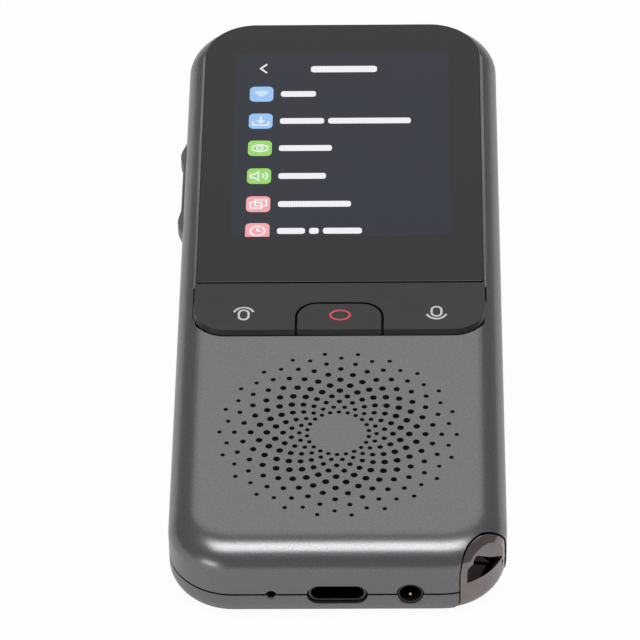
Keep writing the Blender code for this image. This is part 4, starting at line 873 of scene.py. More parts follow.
@dataclass
class Screen:
    """The cover glass and the lit picture: a list with coloured squares, and bars where words were."""

    half: float = 18.34 * MM
    low: float = 7.45 * MM
    high: float = 56.3 * MM
    glass_face: float = 14.54 * MM
    glass_back: float = 13.6 * MM
    layer: float = 0.015 * MM
    square: float = 4.05 * MM
    square_x: float = -13.82 * MM
    word_height: float = 1.5 * MM
    sign_width: float = 0.3 * MM
    square_corner: float = 0.9 * MM
    word_corner: float = 0.5 * MM
    title: tuple[Point, Point] = ((-5.42 * MM, 50.9 * MM, 0.55 * MM), (5.98 * MM, 52.6 * MM, 0.0))
    arrow: tuple[tuple[float, float], ...] = ((-13.0 * MM, 53.2 * MM), (-14.1 * MM, 52.0 * MM),
                                              (-13.0 * MM, 50.8 * MM))
    arrow_width: float = 0.34 * MM
    rows: tuple[Row, ...] = (
        Row(45.0 * MM, Glyph.WAVES, "blue", ((-10.49, -4.48),)),
        Row(37.7 * MM, Glyph.TRAY, "blue", ((-10.54, -3.0), (-2.3, 11.8))),
        Row(30.45 * MM, Glyph.EYE, "green", ((-10.59, -1.6),)),
        Row(23.1 * MM, Glyph.SOUND, "green", ((-10.55, -2.54),)),
        Row(15.8 * MM, Glyph.CARDS, "pink", ((-10.5, 1.72),)),
        Row(8.88 * MM, Glyph.DIAL, "pink", ((-10.55, -5.9), (-5.2, -3.6), (-2.9, 3.59))))

    def glass(self, finish: Finish) -> Piece:
        """Build the cover glass with a polished bevel round its face."""
        outline = Outline(SIZES.glass_half, SIZES.glass_bottom, SIZES.glass_top, 0.5 * MM,
                          SIZES.glass_corner, 20)
        bm = outline.slab(self.glass_back, self.glass_face)
        round_edges(bm, rim(bm, self.glass_face), 0.28 * MM, 4)
        return dress(shade(solid("cover_glass", bm)), finish, Body.CASE, "cover_glass", "screen_glass")

    def plate(self, name: str, low: tuple[float, float], high: tuple[float, float], level: int,
              radius: float = 0.0) -> Piece:
        """Return a thin flat plate of the picture, clipped where the lit area ends.

        Args:
            name: Its name.
            low: Its lower left corner.
            high: Its upper right corner.
            level: How many layers lie under it.
            radius: The radius of its corners.

        Returns:
            The object.
        """
        height = self.glass_face + self.layer * level
        bm = box((*low, height), (*high, height + self.layer))
        if radius > 0:
            round_edges(bm, upright(bm, lambda place: True), radius, 6)
        bmesh.ops.bisect_plane(bm, geom=bm.verts[:] + bm.edges[:] + bm.faces[:], dist=1e-8,
                               plane_co=(0.0, self.low, 0.0), plane_no=(0.0, -1.0, 0.0), clear_outer=True)
        bmesh.ops.holes_fill(bm, edges=[edge for edge in bm.edges if edge.is_boundary], sides=0)
        return solid(name, bm)

    def stroke(self, name: str, points: Sequence[tuple[float, float]], width: float, level: int,
               closed: bool = False) -> Piece:
        """Return a thin flat line of the picture.

        Args:
            name: Its name.
            points: The points that it runs through.
            width: Its width.
            level: How many layers lie under it.
            closed: Whether its end joins its start.

        Returns:
            The object, as a mesh.
        """
        return ribbon(name, points, width, self.glass_face + self.layer * level, self.layer, closed)

    def sign(self, row: Row) -> list[Piece]:
        """Return the strokes of a row's sign, drawn in millimetres about the middle of its square."""
        made: list[tuple[list[tuple[float, float]], bool]] = []
        if row.glyph is Glyph.WAVES:
            made += [(arc(0, -0.95, radius, 45, 135), False) for radius in (0.55, 1.1, 1.65)]
        elif row.glyph is Glyph.TRAY:
            made.append(([(-1.3, -0.2), (-1.3, -1.1), (1.3, -1.1), (1.3, -0.2)], False))
            made.append(([(0, 1.2), (0, -0.4)], False))
            made.append(([(-0.6, 0.15), (0, -0.45), (0.6, 0.15)], False))
        elif row.glyph is Glyph.EYE:
            made.append((arc(0, -0.85, 1.75, 35, 145), False))
            made.append((arc(0, 0.85, 1.75, 215, 325), False))
            made.append((arc(0, 0, 0.5, 0, 345), True))
        elif row.glyph is Glyph.SOUND:
            made.append(([(-1.4, 0.45), (-0.8, 0.45), (-0.1, 1.1),
                          (-0.1, -1.1), (-0.8, -0.45), (-1.4, -0.45)], True))
            made += [(arc(0.1, 0, radius, -45, 45), False) for radius in (0.7, 1.3)]
        elif row.glyph is Glyph.CARDS:
            for shift in (-0.4, 0.4):
                left, low = shift - 0.95, shift * 0.8 - 0.75
                right, high = left + 1.9, low + 1.5
                made.append(([(left, low), (right, low), (right, high), (left, high)], True))
        else:
            made.append((arc(0, 0, 1.2, 0, 345), True))
            made.append(([(0, 0.75), (0, 0), (0.6, 0)], False))
        strokes = []
        for index, (points, closed) in enumerate(made):
            placed = [(self.square_x + x * MM, row.y + y * MM) for x, y in points]
            strokes.append(self.stroke(f"sign_{row.glyph.value}_{index}", placed, self.sign_width, 3, closed))
        return strokes

    def build(self, glass: Finish, panel: Finish, inks: dict[str, Finish]) -> None:
        """Build the glass and the picture.

        Args:
            glass: The finish of the glass.
            panel: The finish of the lit background.
            inks: The finishes of the picture, by name.
        """
        self.glass(glass)
        lit = self.plate("lit_panel", (-self.half, self.low), (self.half, self.high), 0)
        dress(lit, panel, Body.CASE, "display_panel")
        half = self.square / 2
        for row in self.rows:
            square = self.plate(f"square_{row.glyph.value}", (self.square_x - half, row.y - half),
                                (self.square_x + half, row.y + half), 1, self.square_corner)
            dress(square, inks[row.finish], Body.CASE, "display_panel")
            for stroke in self.sign(row):
                if min(vert.co.y for vert in stroke.data.vertices) < self.low:
                    lowest = box((-self.half, self.low - self.square, self.glass_face - MM),
                                 (self.half, self.low, self.glass_face + MM))
                    cut(stroke, solid("below", lowest))
                dress(stroke, inks["white"], Body.CASE, "display_panel")
            for index, (start, end) in enumerate(row.words):
                low = row.y - self.word_height / 2
                bar = self.plate(f"bar_{row.glyph.value}_{index}", (start * MM, low),
                                 (end * MM, low + self.word_height), 1, self.word_corner)
                dress(bar, inks["white"], Body.CASE, "display_panel")
        start, end = self.title
        title = self.plate("bar_title", start[:2], end[:2], 1, start[2])
        dress(title, inks["white"], Body.CASE, "display_panel")
        back = self.stroke("back_arrow", self.arrow, self.arrow_width, 1)
        dress(back, inks["white"], Body.CASE, "display_panel")


@dataclass
class FrontKeys:
    """The wide rocking key bar and the centre key set into it, with their printed signs."""

    underside: float = 12.9 * MM
    face: float = 14.56 * MM
    bevel_reach: float = 0.55 * MM
    bevel_drop: float = 0.75 * MM
    key_edge: float = 0.12 * MM
    bar_edge: float = 0.1 * MM
    tight: float = 0.3 * MM
    centre_half: float = 6.9 * MM
    centre_top: float = -9.4 * MM
    centre_corner: float = 3.3 * MM
    centre_gap: float = 0.35 * MM
    post_radius: float = 1.3 * MM
    post_length: float = 0.3 * MM
    post_x: float = 16.0 * MM
    ink: float = 0.02 * MM
    stroke: float = 0.36 * MM
    print_lift: float = 0.001 * MM
    side_signs: tuple[tuple[str, float, float, int], ...] = (("left", -15.62 * MM, -12.1 * MM, 1),
                                                             ("right", 15.85 * MM, -11.45 * MM, -1))
    ring_size: tuple[float, float] = (0.8 * MM, 0.35 * MM)
    bow_size: tuple[float, float, float] = (1.75 * MM, 1.95 * MM, 0.15 * MM)
    oval_place: tuple[float, float] = (0.12 * MM, -12.25 * MM)
    oval_size: tuple[float, float] = (1.6 * MM, 1.15 * MM)

    def bevelled(self, name: str, outline: Outline) -> Piece:
        """Build a key of an outline whose lower edge has a deep bevel and the others a fine one.

        Args:
            name: The key's name.
            outline: Its outline.

        Returns:
            The object.
        """
        bm = outline.slab(self.underside, self.face)
        round_edges(bm, rim(bm, self.face), self.key_edge, 3)
        item = solid(name, bm)
        wedge_low = SIZES.bar_bottom
        wedge = Outline(outline.half_width + SIZES.clear, wedge_low - SIZES.clear, wedge_low, self.bar_edge,
                        self.bar_edge, 1).slab(self.face - self.bevel_drop, self.face + SIZES.clear)
        for vert in wedge.verts:
            if vert.co.z > self.face and vert.co.y > wedge_low - SIZES.clear / 2:
                vert.co.y += self.bevel_reach * (self.bevel_drop + SIZES.clear) / self.bevel_drop
        return cut(item, solid("wedge", wedge))

    def post(self, x: float, y: float) -> Piece:
        """Return the short post under a key."""
        return solid("post", drum((x, y), self.post_radius, self.underside - self.post_length,
                                  self.underside + self.bevel_reach, 24))

    def bar(self, finish: Finish) -> Piece:
        """Build the key bar, with the arch cut out for the centre key."""
        outline = Outline(SIZES.glass_half, SIZES.bar_bottom, SIZES.bar_top, SIZES.bar_corner, self.tight, 18)
        item = self.skirt(outline)
        gap = self.centre_gap
        arch = Outline(self.centre_half + gap, SIZES.bar_bottom - SIZES.clear, self.centre_top + gap, gap,
                       self.centre_corner + gap, 14)
        cut(item, solid("arch", arch.slab(self.underside - SIZES.clear, self.face + SIZES.clear)))
        middle = (SIZES.bar_bottom + SIZES.bar_top) / 2
        for side in (-1, 1):
            carve(item, self.post(side * self.post_x, middle), Operation.JOIN)
        return dress(shade(item), finish, Body.BAR, "key_black", "key_bar")

    def skirt(self, outline: Outline) -> Piece:
        """Return the bar's solid, whose bevel runs round its lower corners and fades up the sides."""
        bm = outline.slab(self.underside, self.face)
        round_edges(bm, rim(bm, self.face), self.bar_edge, 2)
        item = solid("key_bar_skin", bm)
        ring = outline.slab(self.face - self.bevel_drop, self.face + SIZES.clear)
        reach = self.bevel_reach * (self.bevel_drop + SIZES.clear) / self.bevel_drop
        for vert in ring.verts:
            if vert.co.z > self.face and vert.co.y < outline.low + outline.low_radius:
                vert.co.y += reach
        above = solid("above", ring)
        keep = solid("keep", outline.grown(SIZES.clear).slab(self.underside - SIZES.clear,
                                                              self.face - self.bevel_drop))
        carve(above, keep, Operation.JOIN)
        return carve(item, above, Operation.KEEP)

    def centre(self, finish: Finish) -> Piece:
        """Build the centre key."""
        outline = Outline(self.centre_half, SIZES.bar_bottom, self.centre_top, self.tight,
                          self.centre_corner, 14)
        item = self.bevelled("centre_key_skin", outline)
        carve(item, self.post(0.0, (SIZES.bar_bottom + self.centre_top) / 2), Operation.JOIN)
        return dress(shade(item), finish, Body.CENTRE, "key_black", "centre_key")

    def signs(self, pale: Finish, red: Finish) -> None:
        """Print a ring with an arc over it and one with an arc under it, and an oval on the centre key.

        Args:
            pale: The finish of the side signs.
            red: The finish of the centre key's oval.
        """
        level = self.face + self.print_lift
        round_part, straight_part = self.ring_size
        width, rise, drop = self.bow_size
        for name, x, y, side in self.side_signs:
            pill = []
            for start, shift in ((0, straight_part), (180, -straight_part)):
                pill += arc(x, y + shift, round_part, start, start + 180, 10)
            ring = ribbon(f"sign_{name}_ring", pill, self.stroke, level, self.ink, closed=True)
            dress(ring, pale, Body.BAR, "key_black")
            start = 25 if side > 0 else 205
            bow = arc(x, y - side * drop, width, start, start + 130, 20, rise)
            dress(ribbon(f"sign_{name}_bow", bow, self.stroke, level, self.ink), pale, Body.BAR, "key_black")
        oval = arc(*self.oval_place, self.oval_size[0], 0, 351, 40, self.oval_size[1])
        dress(ribbon("sign_centre_oval", oval, self.stroke, level, self.ink, closed=True), red, Body.CENTRE,
              "key_black")

    def build(self, finish: Finish, pale: Finish, red: Finish) -> None:
        """Build both keys and their signs."""
        self.bar(finish)
        self.centre(finish)
        self.signs(pale, red)


@dataclass
class SideKeys:
    """The volume rocker and the sunk power key on the left side."""

    rise: float = 0.5 * MM
    bump_rise: float = 0.98 * MM
    bump_spacing: float = 17.2 * MM
    bump_length: float = 6.6 * MM
    sink: float = 0.25 * MM
    flange_outer: float = 24.8 * MM
    flange_inner: float = 24.0 * MM
    lip: float = 0.9 * MM
    nub_radius: float = 0.8 * MM
    nub_end: float = 23.7 * MM
    cap_overlap: float = 0.4 * MM
    nub_overlap: float = 0.3 * MM
    steps: int = 48
    edge: float = 0.35 * MM

    def swell(self, y: float) -> float:
        """Return how far the rocker stands out of the side at a distance from its middle."""
        half = SIZES.rocker_length / 2
        from_bump = abs(abs(y) - self.bump_spacing / 2) / (self.bump_length / 2)
        bump = math.cos(min(from_bump, 1.0) * math.pi / 2) ** 2
        fade = max((abs(y) - self.bump_spacing / 2) / (half - self.bump_spacing / 2), 0.0) ** 2
        return self.rise * (1 - fade) + (self.bump_rise - self.rise) * bump

    def cap(self, centre: float, length: float, face: float) -> Form:
        """Start a side key's cap as a block that reaches from its flange to the x of its outer face."""
        return box((face, centre - length / 2, SIZES.side_key_low),
                   (-self.flange_outer + self.cap_overlap, centre + length / 2, SIZES.side_key_high))

    def flange(self, centre: float, length: float, nubs: Sequence[float]) -> list[Piece]:
        """Return the flange behind the wall and the nubs that reach the switches."""
        half = length / 2 + self.lip
        made = [solid("flange", box((-self.flange_outer, centre - half, SIZES.side_key_low),
                                    (-self.flange_inner, centre + half, SIZES.side_key_high + self.lip / 2)))]
        middle = (SIZES.side_key_low + SIZES.side_key_high) / 2
        for y in nubs:
            nub = solid("nub", drum((0.0, 0.0), self.nub_radius, self.nub_end,
                                    self.flange_outer - self.nub_overlap, 20))
            turn = Matrix(((0, 0, -1), (0, 1, 0), (1, 0, 0))).to_4x4()
            nub.data.transform(Matrix.Translation((0.0, y, middle)) @ turn)
            made.append(nub)
        return made

    def rocker(self, finish: Finish) -> Piece:
        """Build the volume rocker, with a bump near each end and rounded edges."""
        length = SIZES.rocker_length
        bm = self.cap(0.0, length, -SIZES.side)
        along = [edge for edge in bm.edges if abs(edge.verts[0].co.y - edge.verts[1].co.y) > length / 2]
        bmesh.ops.subdivide_edges(bm, edges=along, cuts=self.steps - 1, use_grid_fill=True)
        outer = [vert for vert in bm.verts if abs(vert.co.x + SIZES.side) < 1e-6]
        for vert in outer:
            vert.co.x -= self.swell(vert.co.y)
        rims = [edge for edge in bm.edges if all(vert in outer for vert in edge.verts)
                and any(abs(face.normal.z) > 0.9 for face in edge.link_faces)]
        round_edges(bm, rims, self.edge, 5)
        bmesh.ops.translate(bm, verts=bm.verts[:], vec=(0.0, SIZES.rocker_y, 0.0))
        item = solid("volume_rocker_skin", bm)
        half = self.bump_spacing / 2
        for part in self.flange(SIZES.rocker_y, length, (SIZES.rocker_y - half, SIZES.rocker_y + half)):
            carve(item, part, Operation.JOIN)
        return dress(shade(item), finish, Body.VOLUME, "key_black", "volume_rocker")

    def power(self, finish: Finish) -> Piece:
        """Build the power key, sunk below the side and rounded round its face."""
        face = -SIZES.side + self.sink
        bm = self.cap(SIZES.power_y, SIZES.power_length, face)
        front = [edge for edge in bm.edges if all(abs(vert.co.x - face) < 1e-6 for vert in edge.verts)]
        round_edges(bm, front, self.edge, 5)
        item = solid("power_key_skin", bm)
        for part in self.flange(SIZES.power_y, SIZES.power_length, (SIZES.power_y,)):
            carve(item, part, Operation.JOIN)
        return dress(shade(item), finish, Body.POWER, "key_black", "power_key")

    def build(self, finish: Finish) -> None:
        """Build both side keys."""
        self.rocker(finish)
        self.power(finish)


@dataclass
class Sockets:
    """What shows in the bottom end: the charging socket and the headphone jack."""

    usb_recess: float = 0.5 * MM
    usb_length: float = 7.35 * MM
    usb_wall: float = 0.3 * MM
    jack_front: float = -65.7 * MM
    collar_outer: float = 1.95 * MM
    collar_inner: float = 1.7 * MM
    collar_length: float = 1.5 * MM
    glint: tuple[float, float, float] = (0.34 * MM, 0.0, -0.75 * MM)
    jack_half: float = 3.0 * MM
    jack_high: float = 2.45 * MM
    jack_length: float = 12.0 * MM
    jack_bore: float = 1.75 * MM
    jack_back: float = 1.2 * MM

    def usb(self, metal: Finish) -> Piece:
        """Build the charging socket's metal shell, with rounded lips."""
        width, height = SIZES.usb_half
        item = solid("usb_shell_skin", SIZES.slot_bar(width, height, 0.0, self.usb_length, 20))
        hollow = SIZES.slot_bar(width - self.usb_wall, height - self.usb_wall, -SIZES.clear,
                                self.usb_length + SIZES.clear, 20)
        cut(item, solid("hollow", hollow))
        SIZES.along_y(item, 0.0, SIZES.bottom + self.usb_recess)
        return dress(shade(item), metal, Body.CASE, "socket_steel", "usb_shell")

    def jack(self, plastic: Finish) -> Piece:
        """Build the headphone jack's body with its round bore."""
        bm = box((-self.jack_half, -self.jack_high, 0.0), (self.jack_half, self.jack_high, self.jack_length))
        round_edges(bm, upright(bm, lambda place: True), 0.5 * MM, 4)
        item = solid("audio_jack_skin", bm)
        bore = drum((0.0, 0.0), self.jack_bore, -SIZES.clear, self.jack_length - self.jack_back, 48)
        cut(item, solid("bore", bore))
        SIZES.along_y(item, SIZES.jack_x, self.jack_front)
        return dress(shade(item), plastic, Body.CASE, "socket_plastic", "audio_jack")

    def collar(self, plastic: Finish) -> Piece:
        """Build the jack's black collar, which reaches into the hole in the end."""
        item = solid("jack_collar", drum((0.0, 0.0), self.collar_outer, -self.collar_length, -0.01 * MM, 48))
        cut(item, solid("bore", drum((0.0, 0.0), self.collar_inner, -SIZES.clear, SIZES.clear, 48)))
        SIZES.along_y(item, SIZES.jack_x, self.jack_front)
        return dress(shade(item), plastic, Body.CASE, "socket_plastic")

    def contact(self, gold: Finish) -> Piece:
        """Build the sprung contact's rounded tip, which glints low in the jack's bore."""
        radius, x, z = self.glint
        bm = bmesh.new()
        bmesh.ops.create_uvsphere(bm, u_segments=20, v_segments=12, radius=radius)
        item = solid("jack_contact_tip", bm)
        stem = box((-radius / 3, -radius / 3, 0.0), (radius / 3, radius / 3, 2 * SIZES.clear))
        carve(item, solid("stem", stem), Operation.JOIN)
        SIZES.along_y(item, SIZES.jack_x + x, self.jack_front - self.collar_length / 2)
        item.data.transform(Matrix.Translation((0.0, 0.0, z)))
        return dress(shade(item), gold, Body.CASE, "contact_gold")

    def build(self, metal: Finish, plastic: Finish, gold: Finish) -> None:
        """Build both sockets."""
        self.usb(metal)
        self.jack(plastic)
        self.collar(plastic)
        self.contact(gold)


@dataclass
class Bracket:
    """The dark chrome corner with a strap post across its scooped window."""

    sink: float = 0.15 * MM
    rim_width: float = 1.0 * MM
    back_wall: float = 1.0 * MM
    lip: float = 6.85 * MM
    lip_dip: float = 0.15 * MM
    wall_reach: float = 8.7 * MM
    wall_lean: float = 0.9 * MM
    wall_bend: float = 9.3 * MM
    wall_dish: float = 0.5 * MM
    post_thickness: float = 1.1 * MM
    slot_place: tuple[float, float] = (1.4 * MM, 7.5 * MM)
    slot_size: tuple[float, float] = (7.6 * MM, 1.5 * MM)
    slot_turn: float = math.radians(-38.0)
    slot_end: float = 9.3 * MM
    edge: float = 0.32 * MM
    tab_length: float = 3.8 * MM
    tab_half: float = 1.9 * MM
    tab_low: float = 3.2 * MM
    tab_thickness: float = 1.2 * MM
    screw_hole: float = 1.0 * MM

    def sheet(self, low: Point, high: Point) -> Form:
        """Start a block whose faces are cut into a fine grid, to be pushed into a dished form."""
        bm = box(low, high)
        bmesh.ops.subdivide_edges(bm, edges=bm.edges[:], cuts=15, use_grid_fill=True)
        return bm

    def wall(self, half: float) -> Piece:
        """Return the dished wall behind the window: it follows the fillet back towards the crown."""
        bm = self.sheet((0.0, -2 * half, 0.0), (self.wall_reach, 2 * half, SIZES.depth))
        for vert in bm.verts:
            if abs(vert.co.x - self.wall_reach) < 1e-6:
                up = max(vert.co.z - self.wall_bend, 0.0) / (SIZES.bracket_crown - self.wall_bend)
                aside = vert.co.y / half
                vert.co.x += self.wall_dish * aside * aside - self.wall_lean * up * up
        return SIZES.to_corner(solid("wall", bm))

    def floor(self, half: float) -> Piece:
        """Return what lies under the window: its top dips behind the lip."""
        outer = SIZES.bottom_corner + SIZES.clear
        bm = self.sheet((0.0, -2 * half, -2 * SIZES.clear), (outer, 2 * half, self.lip))
        for vert in bm.verts:
            if abs(vert.co.z - self.lip) < 1e-6:
                inwards = max(SIZES.bottom_corner - vert.co.x, 0.0) / (SIZES.bottom_corner - self.wall_reach)
                vert.co.z -= self.lip_dip * min(inwards, 1.0)
        return SIZES.to_corner(solid("floor", bm))

    def slot(self, inner: float) -> Piece:
        """Return the sloping slot that the strap goes through, over the post."""
        length, width = self.slot_size
        bm = box((inner, -length / 2, -width / 2), (self.slot_end, length / 2, width / 2))
        ends = [edge for edge in bm.edges if abs(edge.verts[0].co.x - edge.verts[1].co.x) > SIZES.clear]
        round_edges(bm, ends, 0.45 * width, 5)
        turn = Matrix.Translation((0.0, *self.slot_place)) @ Matrix.Rotation(self.slot_turn, 4, "X")
        bmesh.ops.transform(bm, matrix=turn, verts=bm.verts[:])
        return SIZES.to_corner(solid("slot", bm))

    def build(self, chrome: Finish) -> Piece:
        """Build the bracket.

        Args:
            chrome: Its finish.

        Returns:
            The piece.
        """
        half = SIZES.bracket_half - SIZES.gap
        crown = SIZES.bracket_crown - SIZES.gap
        outer = SIZES.bottom_corner + SIZES.clear
        item = SIZES.half_body("lanyard_bracket_skin", SIZES.seam - SIZES.gap, SIZES.depth - self.sink,
                               self.sink, segments=16)
        lower = SIZES.half_body("lower", self.sink, SIZES.seam, self.sink, segments=16)
        carve(item, lower, Operation.JOIN)
        carve(item, SIZES.arch("arch", half, crown, SIZES.bracket_inner, outer), Operation.KEEP)
        inner = SIZES.bracket_inner + self.back_wall
        window_half = half - self.rim_width
        window = SIZES.arch("window", window_half, crown - self.rim_width, inner, outer)
        cut(window, self.floor(half), self.wall(half))
        well_half = window_half - self.rim_width / 2
        well = SIZES.to_corner(solid("well", box((inner, -well_half, -SIZES.clear),
                                                 (self.wall_reach - self.post_thickness, well_half,
                                                  self.slot_place[1] + self.slot_size[0] / 3))))
        cut(item, window, well, self.slot(inner))
        tab = solid("tab", box((SIZES.bracket_inner - self.tab_length, -self.tab_half, self.tab_low),
                               (SIZES.bracket_inner + self.back_wall / 2, self.tab_half,
                                self.tab_low + self.tab_thickness)))
        carve(item, SIZES.to_corner(tab), Operation.JOIN)
        hole = drum((SIZES.bracket_inner - self.tab_length / 2, 0.0), self.screw_hole,
                    self.tab_low - SIZES.clear, self.tab_low + self.tab_thickness + SIZES.clear, 28)
        cut(item, SIZES.to_corner(solid("hole", hole)))
        soften(item, self.edge)
        return dress(shade(item), chrome, Body.CASE, "dark_chrome", "lanyard_bracket")


@dataclass
class Insides:
    """The CAD nodes that keep their shape: each gets the finish of what it is."""

    groups: tuple[tuple[str, tuple[str, ...]], ...] = (
        ("steel", ("key_switch_left", "key_switch_centre", "key_switch_right", "volume_up_switch",
                   "volume_down_switch", "power_switch", "shield_can", "microphone", "speaker_magnet",
                   "bracket_screw", "speaker_screw_left", "speaker_screw_right", "dock_screw_left",
                   "dock_screw_right", "frame_screw_lower_left", "frame_screw_lower_right",
                   "frame_screw_upper_left", "frame_screw_upper_right", "midframe")),
        ("board", ("main_board", "side_key_board", "dock_board")),
        ("rubber", ("key_membrane", "usb_gasket", "mic_boot", "speaker_gasket", "speaker_cone")),
        ("plastic", ("usb_tongue", "speaker_basket")),
        ("foil", ("battery",)),
        ("film", ("aerial",)),
        ("gold", ("jack_contact",)),
        ("mesh", ("speaker_mesh",)),
        ("panel", ("display_module",)))

    def build(self, finishes: dict[str, Finish]) -> None:
        """Dress each node.

        Args:
            finishes: The finishes, by name.
        """
        for name, nodes in self.groups:
            for node in nodes:
                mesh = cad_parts[node].data
                mesh.materials.clear()
                mesh.materials.append(finishes[name])
            LOG.info("%s: %d nodes", name, len(nodes))


@dataclass
class Studio:
    """The pale floor, the soft lights and the camera of the photograph."""

    camera_place: Point = (12.0 * MM, -615.36 * MM, 550.31 * MM)
    right: Point = (0.9998, 0.0109, -0.016)
    up: Point = (0.0047, 0.6649, 0.7469)
    backward: Point = (0.0188, -0.7468, 0.6647)
    lens: float = 278.2
    sensor: float = 36.0
    floor_half: float = 3.0
    world_level: float = 0.2
    world_shares: tuple[float, float] = (1.0, 0.12)
    floor_shares: tuple[float, float] = (0.96, 0.3)
    lamps: tuple[tuple[str, Point, Point, tuple[float, float], float], ...] = (
        ("softbox", (0.0, -0.22, 0.9), (0.0, -0.04, 0.0), (0.9, 0.42), 6.4),
        ("back_panel", (0.0, 0.84, 0.83), (0.0, 0.0, 0.0), (1.0, 0.8), 1.9),
        ("front_left_panel", (-0.53, -0.73, 0.09), (-0.02, -0.06, 0.01), (0.34, 0.26), 1.0))

    def camera(self) -> Piece:
        """Place the camera as the photograph's."""
        data = bpy.data.cameras.new("camera")
        data.lens = self.lens
        data.sensor_width = self.sensor
        data.sensor_fit = "HORIZONTAL"
        data.clip_start = 0.01
        data.clip_end = 50.0
        item = bpy.data.objects.new("camera", data)
        bpy.context.scene.collection.objects.link(item)
        columns = [Vector(axis) for axis in (self.right, self.up, self.backward)]
        turn = Matrix([[column[row] for column in columns] for row in range(3)])
        item.matrix_world = Matrix.Translation(self.camera_place) @ turn.to_quaternion().to_matrix().to_4x4()
        bpy.context.scene.camera = item
        return item

    def lamp(self, name: str, place: Point, target: Point, size: tuple[float, float], power: float) -> None:
        """Hang a soft rectangular lamp.

        Args:
            name: Its name.
            place: Where it hangs.
            target: Where it points.
            size: Its width and height.
            power: Its power in watts.
        """
        data = bpy.data.lights.new(name, "AREA")
        data.shape = "RECTANGLE"
        data.size, data.size_y = size
        data.energy = power
        item = bpy.data.objects.new(name, data)
        bpy.context.scene.collection.objects.link(item)
        item.location = place
        item.rotation_euler = (Vector(target) - Vector(place)).to_track_quat("-Z", "Y").to_euler()

    def show_white(self, tree: bpy.types.NodeTree, lit: bpy.types.NodeSocket, white: bpy.types.NodeSocket,
                   output: bpy.types.NodeSocket, shares: tuple[float, float]) -> None:
        """Show a shader as white to the camera and in reflections, and let it light the object by itself.

        Args:
            tree: The node tree.
            lit: The shader that lights the object.
            white: The white shader.
            output: The socket that takes the result.
            shares: How much of the white the camera sees, and how much a reflection shows.
        """
        rays = tree.nodes.new("ShaderNodeLightPath")
        camera_share, mirror_share = shares
        kinds = (("Is Camera Ray", camera_share), ("Is Glossy Ray", mirror_share),
                 ("Is Transmission Ray", mirror_share))
        seen = None
        for kind, share in kinds:
            part = tree.nodes.new("ShaderNodeMath")
            part.operation = "MULTIPLY_ADD"
            part.inputs[1].default_value = share
            part.inputs[2].default_value = 0.0
            tree.links.new(rays.outputs[kind], part.inputs[0])
            if seen is not None:
                tree.links.new(seen.outputs[0], part.inputs[2])
            seen = part
        mixed = tree.nodes.new("ShaderNodeMixShader")
        tree.links.new(seen.outputs[0], mixed.inputs["Fac"])
        tree.links.new(lit, mixed.inputs[1])
        tree.links.new(white, mixed.inputs[2])
        tree.links.new(mixed.outputs[0], output)

    def world(self) -> None:
        """Give the world a plain pale light, white behind the object."""
        world = bpy.data.worlds.new("studio")
        bpy.context.scene.world = world
        world.use_nodes = True
        tree = world.node_tree
        tree.nodes.clear()
        output = tree.nodes.new("ShaderNodeOutputWorld")
        lit = tree.nodes.new("ShaderNodeBackground")
        lit.inputs["Color"].default_value = (1.0, 1.0, 1.0, 1.0)
        lit.inputs["Strength"].default_value = self.world_level
        white = tree.nodes.new("ShaderNodeBackground")
        white.inputs["Color"].default_value = (1.0, 1.0, 1.0, 1.0)
        white.inputs["Strength"].default_value = 1.0
        self.show_white(tree, lit.outputs[0], white.outputs[0], output.inputs["Surface"], self.world_shares)

    def floor(self) -> None:
        """Lay the pale floor, which keeps a soft shadow."""
        bm = bmesh.new()
        bmesh.ops.create_grid(bm, x_segments=1, y_segments=1, size=self.floor_half)
        item = solid("floor", bm)
        nodes = Nodes("floor_card")
        nodes.constants(Roughness=0.8, Specular_IOR_Level=0.1)
        nodes.ramp(nodes.noise(9.0), "Fac", ((0.0, (0.8, 0.8, 0.8)), (1.0, (0.82, 0.82, 0.82))))
        glow = nodes.tree.nodes.new("ShaderNodeEmission")
        glow.inputs["Color"].default_value = (1.0, 1.0, 1.0, 1.0)
        self.show_white(nodes.tree, nodes.shader.outputs["BSDF"], glow.outputs[0],
                        nodes.output.inputs["Surface"], self.floor_shares)
        item.data.materials.append(nodes.material)

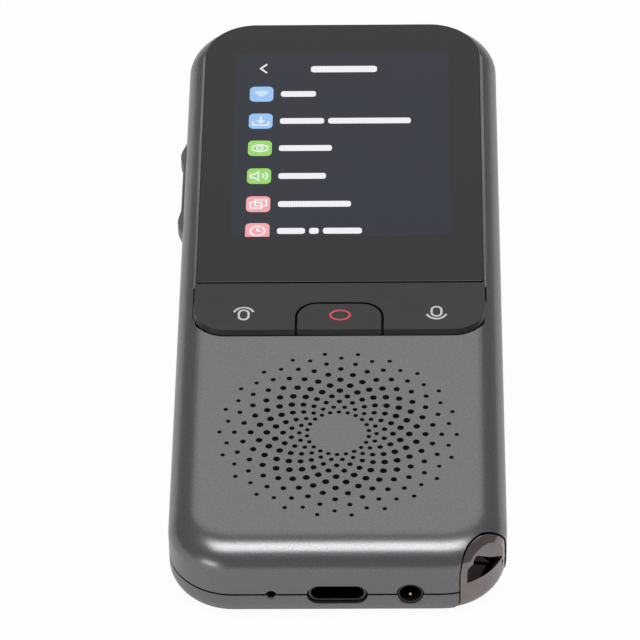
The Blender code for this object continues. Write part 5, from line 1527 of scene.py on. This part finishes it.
    def build(self) -> None:
        """Build the stage."""
        bpy.context.scene.view_settings.view_transform = "Standard"
        self.camera()
        self.world()
        self.floor()
        for name, place, target, size, power in self.lamps:
            self.lamp(name, place, target, size, power)


def main() -> None:
    """Build every piece of the translator and its stage, in order."""
    logging.basicConfig(level=logging.INFO, format="%(name)s %(message)s")
    rubber = Plastic("soft_rubber", srgb(24, 24, 25), 0.8, 3000.0, 0.006 * MM).build()
    plastic = Plastic("black_plastic", srgb(22, 22, 23), 0.42).build()
    keys = Plastic("key_plastic", srgb(28, 28, 29), 0.36, 5200.0, 0.003 * MM).build()
    steel = Metal("plain_steel", (0.56, 0.56, 0.57), 0.3, (1.0, 30.0, 1.0)).build()
    glass = BlackGlass().build()
    panel = Glow("lit_background", srgb(6, 15, 34), 1.0).build()
    inks = {"white": Glow("lit_white", srgb(238, 240, 244), 1.0).build(),
            "blue": Glow("lit_blue", srgb(150, 195, 245), 1.0).build(),
            "green": Glow("lit_green", srgb(150, 215, 100), 1.0).build(),
            "pink": Glow("lit_pink", srgb(245, 165, 170), 1.0).build()}
    paint = Paint().build()
    shells = Shells()
    shells.front(paint)
    shells.back(paint)
    Screen().build(glass, panel, inks)
    FrontKeys().build(keys, Plastic("pale_print", srgb(196, 198, 200), 0.5).build(),
                      Plastic("red_print", srgb(205, 70, 85), 0.5).build())
    SideKeys().build(Plastic("side_key_paint", srgb(84, 83, 86), 0.4).build())
    gold = Metal("contact_gold", (0.83, 0.6, 0.24), 0.2).build()
    Sockets().build(Metal("socket_steel", srgb(96, 92, 90), 0.24).build(), plastic, gold)
    Bracket().build(Metal("dark_chrome", srgb(138, 128, 128), 0.09, (1.0, 1.0, 1.0), 300.0,
                          0.0005 * MM).build())
    Insides().build({
        "steel": steel, "board": Board().build(), "rubber": rubber, "plastic": plastic,
        "foil": Metal("battery_foil", (0.42, 0.43, 0.45), 0.35, (1.0, 12.0, 1.0)).build(),
        "film": Plastic("aerial_film", (0.55, 0.3, 0.06), 0.25, coat=0.5).build(),
        "gold": gold,
        "mesh": Mesh().build(), "panel": panel})
    Studio().build()


if __name__ == "__main__":
    main()
